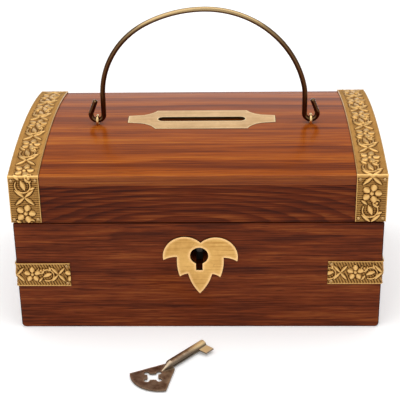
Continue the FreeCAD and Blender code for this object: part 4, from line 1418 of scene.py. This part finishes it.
@dataclass
class Studio:
    """Pale floor and backdrop, soft lamps, and the camera at the photograph's angle.

    Attributes:
        eye: Place of the camera.
        yaw: Turn of the view from the front, in radians.
        pitch: Angle of the view below level.
        roll: Turn of the picture.
        focal: Focal length in pixels of a square picture of the given size.
        picture: Width of the picture in pixels.
        sensor: Width of the camera's sensor in millimetres.
        near: Distance at which the camera starts to see.
        floor_half: Half of the floor's width.
        paper: Linear colour of the floor.
        glow_from: Distance from the object at which the floor starts to run out to white.
        glow_to: Distance at which it is white.
        glow_least: Its own light near the object.
        daylight: Strength of the even light.
        overhead: Brightness of the sky straight above, as metal shows it.
        lamps: The lamps.
    """

    eye: Point = (13.94 * MM, -470.85 * MM, 264.8 * MM)
    yaw: float = -0.0305
    pitch: float = 0.4508
    roll: float = 0.017
    focal: float = 1162.5
    picture: float = 400.0
    sensor: float = 36.0
    near: float = 10.0 * MM
    floor_half: float = 3.0
    paper: Colour = (0.92, 0.92, 0.92)
    glow_from: float = 0.25
    glow_to: float = 1.0
    glow_least: float = 0.22
    daylight: float = 0.45
    overhead: float = 0.3
    lamps: tuple[Lamp, ...] = (Lamp("top_lamp", (0.0, -0.1, 1.0), (1.8, 1.3), 12.5),
                               Lamp("front_lamp", (-0.5, -1.0, 0.7), (0.8, 0.8), 1.5))

    def camera(self) -> None:
        """Place the camera: forward from yaw and pitch, then right and down turned by the roll."""
        data = bpy.data.cameras.new("camera")
        data.sensor_width = self.sensor
        data.lens = self.focal / self.picture * self.sensor
        data.clip_start = self.near
        ahead = math.cos(self.pitch)
        forward = Vector((math.sin(self.yaw) * ahead, math.cos(self.yaw) * ahead, -math.sin(self.pitch)))
        level = Vector((math.cos(self.yaw), -math.sin(self.yaw), 0.0))
        down = forward.cross(level)
        right = math.cos(self.roll) * level + math.sin(self.roll) * down
        below = -math.sin(self.roll) * level + math.cos(self.roll) * down
        turn = Matrix((right, -below, -forward)).transposed().to_4x4()
        camera = bpy.data.objects.new("camera", data)
        camera.matrix_world = Matrix.Translation(self.eye) @ turn
        bpy.context.scene.collection.objects.link(camera)
        bpy.context.scene.camera = camera

    def floor(self) -> Piece:
        """Lay a pale floor that keeps the object's shadow and runs out to white away from it.

        Returns:
            The floor.
        """
        corners = np.array([[-1.0, -1.0, 0.0], [1.0, -1.0, 0.0], [1.0, 1.0, 0.0], [-1.0, 1.0, 0.0]])
        graph = FinishGraph("floor_paper")
        away = graph.vector("LENGTH", graph.coordinates())
        white = graph.band(away, self.glow_from, self.glow_to, self.glow_least, 1.0)
        paper = graph.shade(Base_Color=(*self.paper, 1.0), Roughness=0.9, Specular_IOR_Level=0.1,
                            Emission_Color=(1.0, 1.0, 1.0, 1.0),
                            Emission_Strength=graph.math("MULTIPLY", graph.seen(), white))
        floor = mesh_object("floor", self.floor_half * corners, [[0, 1, 2, 3]], paper, False)
        return floor

    def sky(self) -> None:
        """Give the world an even pale light, white to the camera and in metal, greyer overhead in metal."""
        world = bpy.data.worlds.new("studio")
        world.use_nodes = True
        nodes = NodeTree(world.node_tree)
        camera = nodes.add("ShaderNodeLightPath").outputs["Is Camera Ray"]
        height = nodes.part(nodes.add("ShaderNodeTexCoord").outputs["Generated"], "Z")
        mirrored = nodes.band(height, 0.45, 0.9, 1.0, self.overhead)
        light = nodes.add("ShaderNodeBackground", {"Strength": self.daylight})
        white = nodes.add("ShaderNodeBackground", {"Color": (1.0, 1.0, 1.0, 1.0),
                                                   "Strength": nodes.math("MAXIMUM", camera, mirrored)})
        both = nodes.add("ShaderNodeMixShader", {0: nodes.seen(), 1: light.outputs[0], 2: white.outputs[0]})
        nodes.add("ShaderNodeOutputWorld", {"Surface": both.outputs[0]})
        bpy.context.scene.world = world

    def build(self) -> list[Piece]:
        """Set up the whole studio.

        Returns:
            The floor, its only mesh.
        """
        bpy.context.scene.view_settings.view_transform = "Standard"
        self.camera()
        floor = self.floor()
        self.sky()
        for lamp in self.lamps:
            lamp.hang()
        return [floor]


def main() -> None:
    """Build and dress the whole box, then the studio."""
    logging.basicConfig(level=logging.INFO, format="%(name)s: %(message)s")
    embossed = EmbossedBrass().material()
    wire = WireBrass().material()
    for assembly in (Boards(), Metalwork(wire, embossed), LidStraps(embossed), CornerBrackets(embossed),
                     BailHandle(wire), Studio()):
        for piece in assembly.build():
            log.info("%s: %s, %d faces, %s", type(assembly).__name__, piece.name, len(piece.data.polygons),
                     piece.data.materials[0].name)


if __name__ == "__main__":
    main()
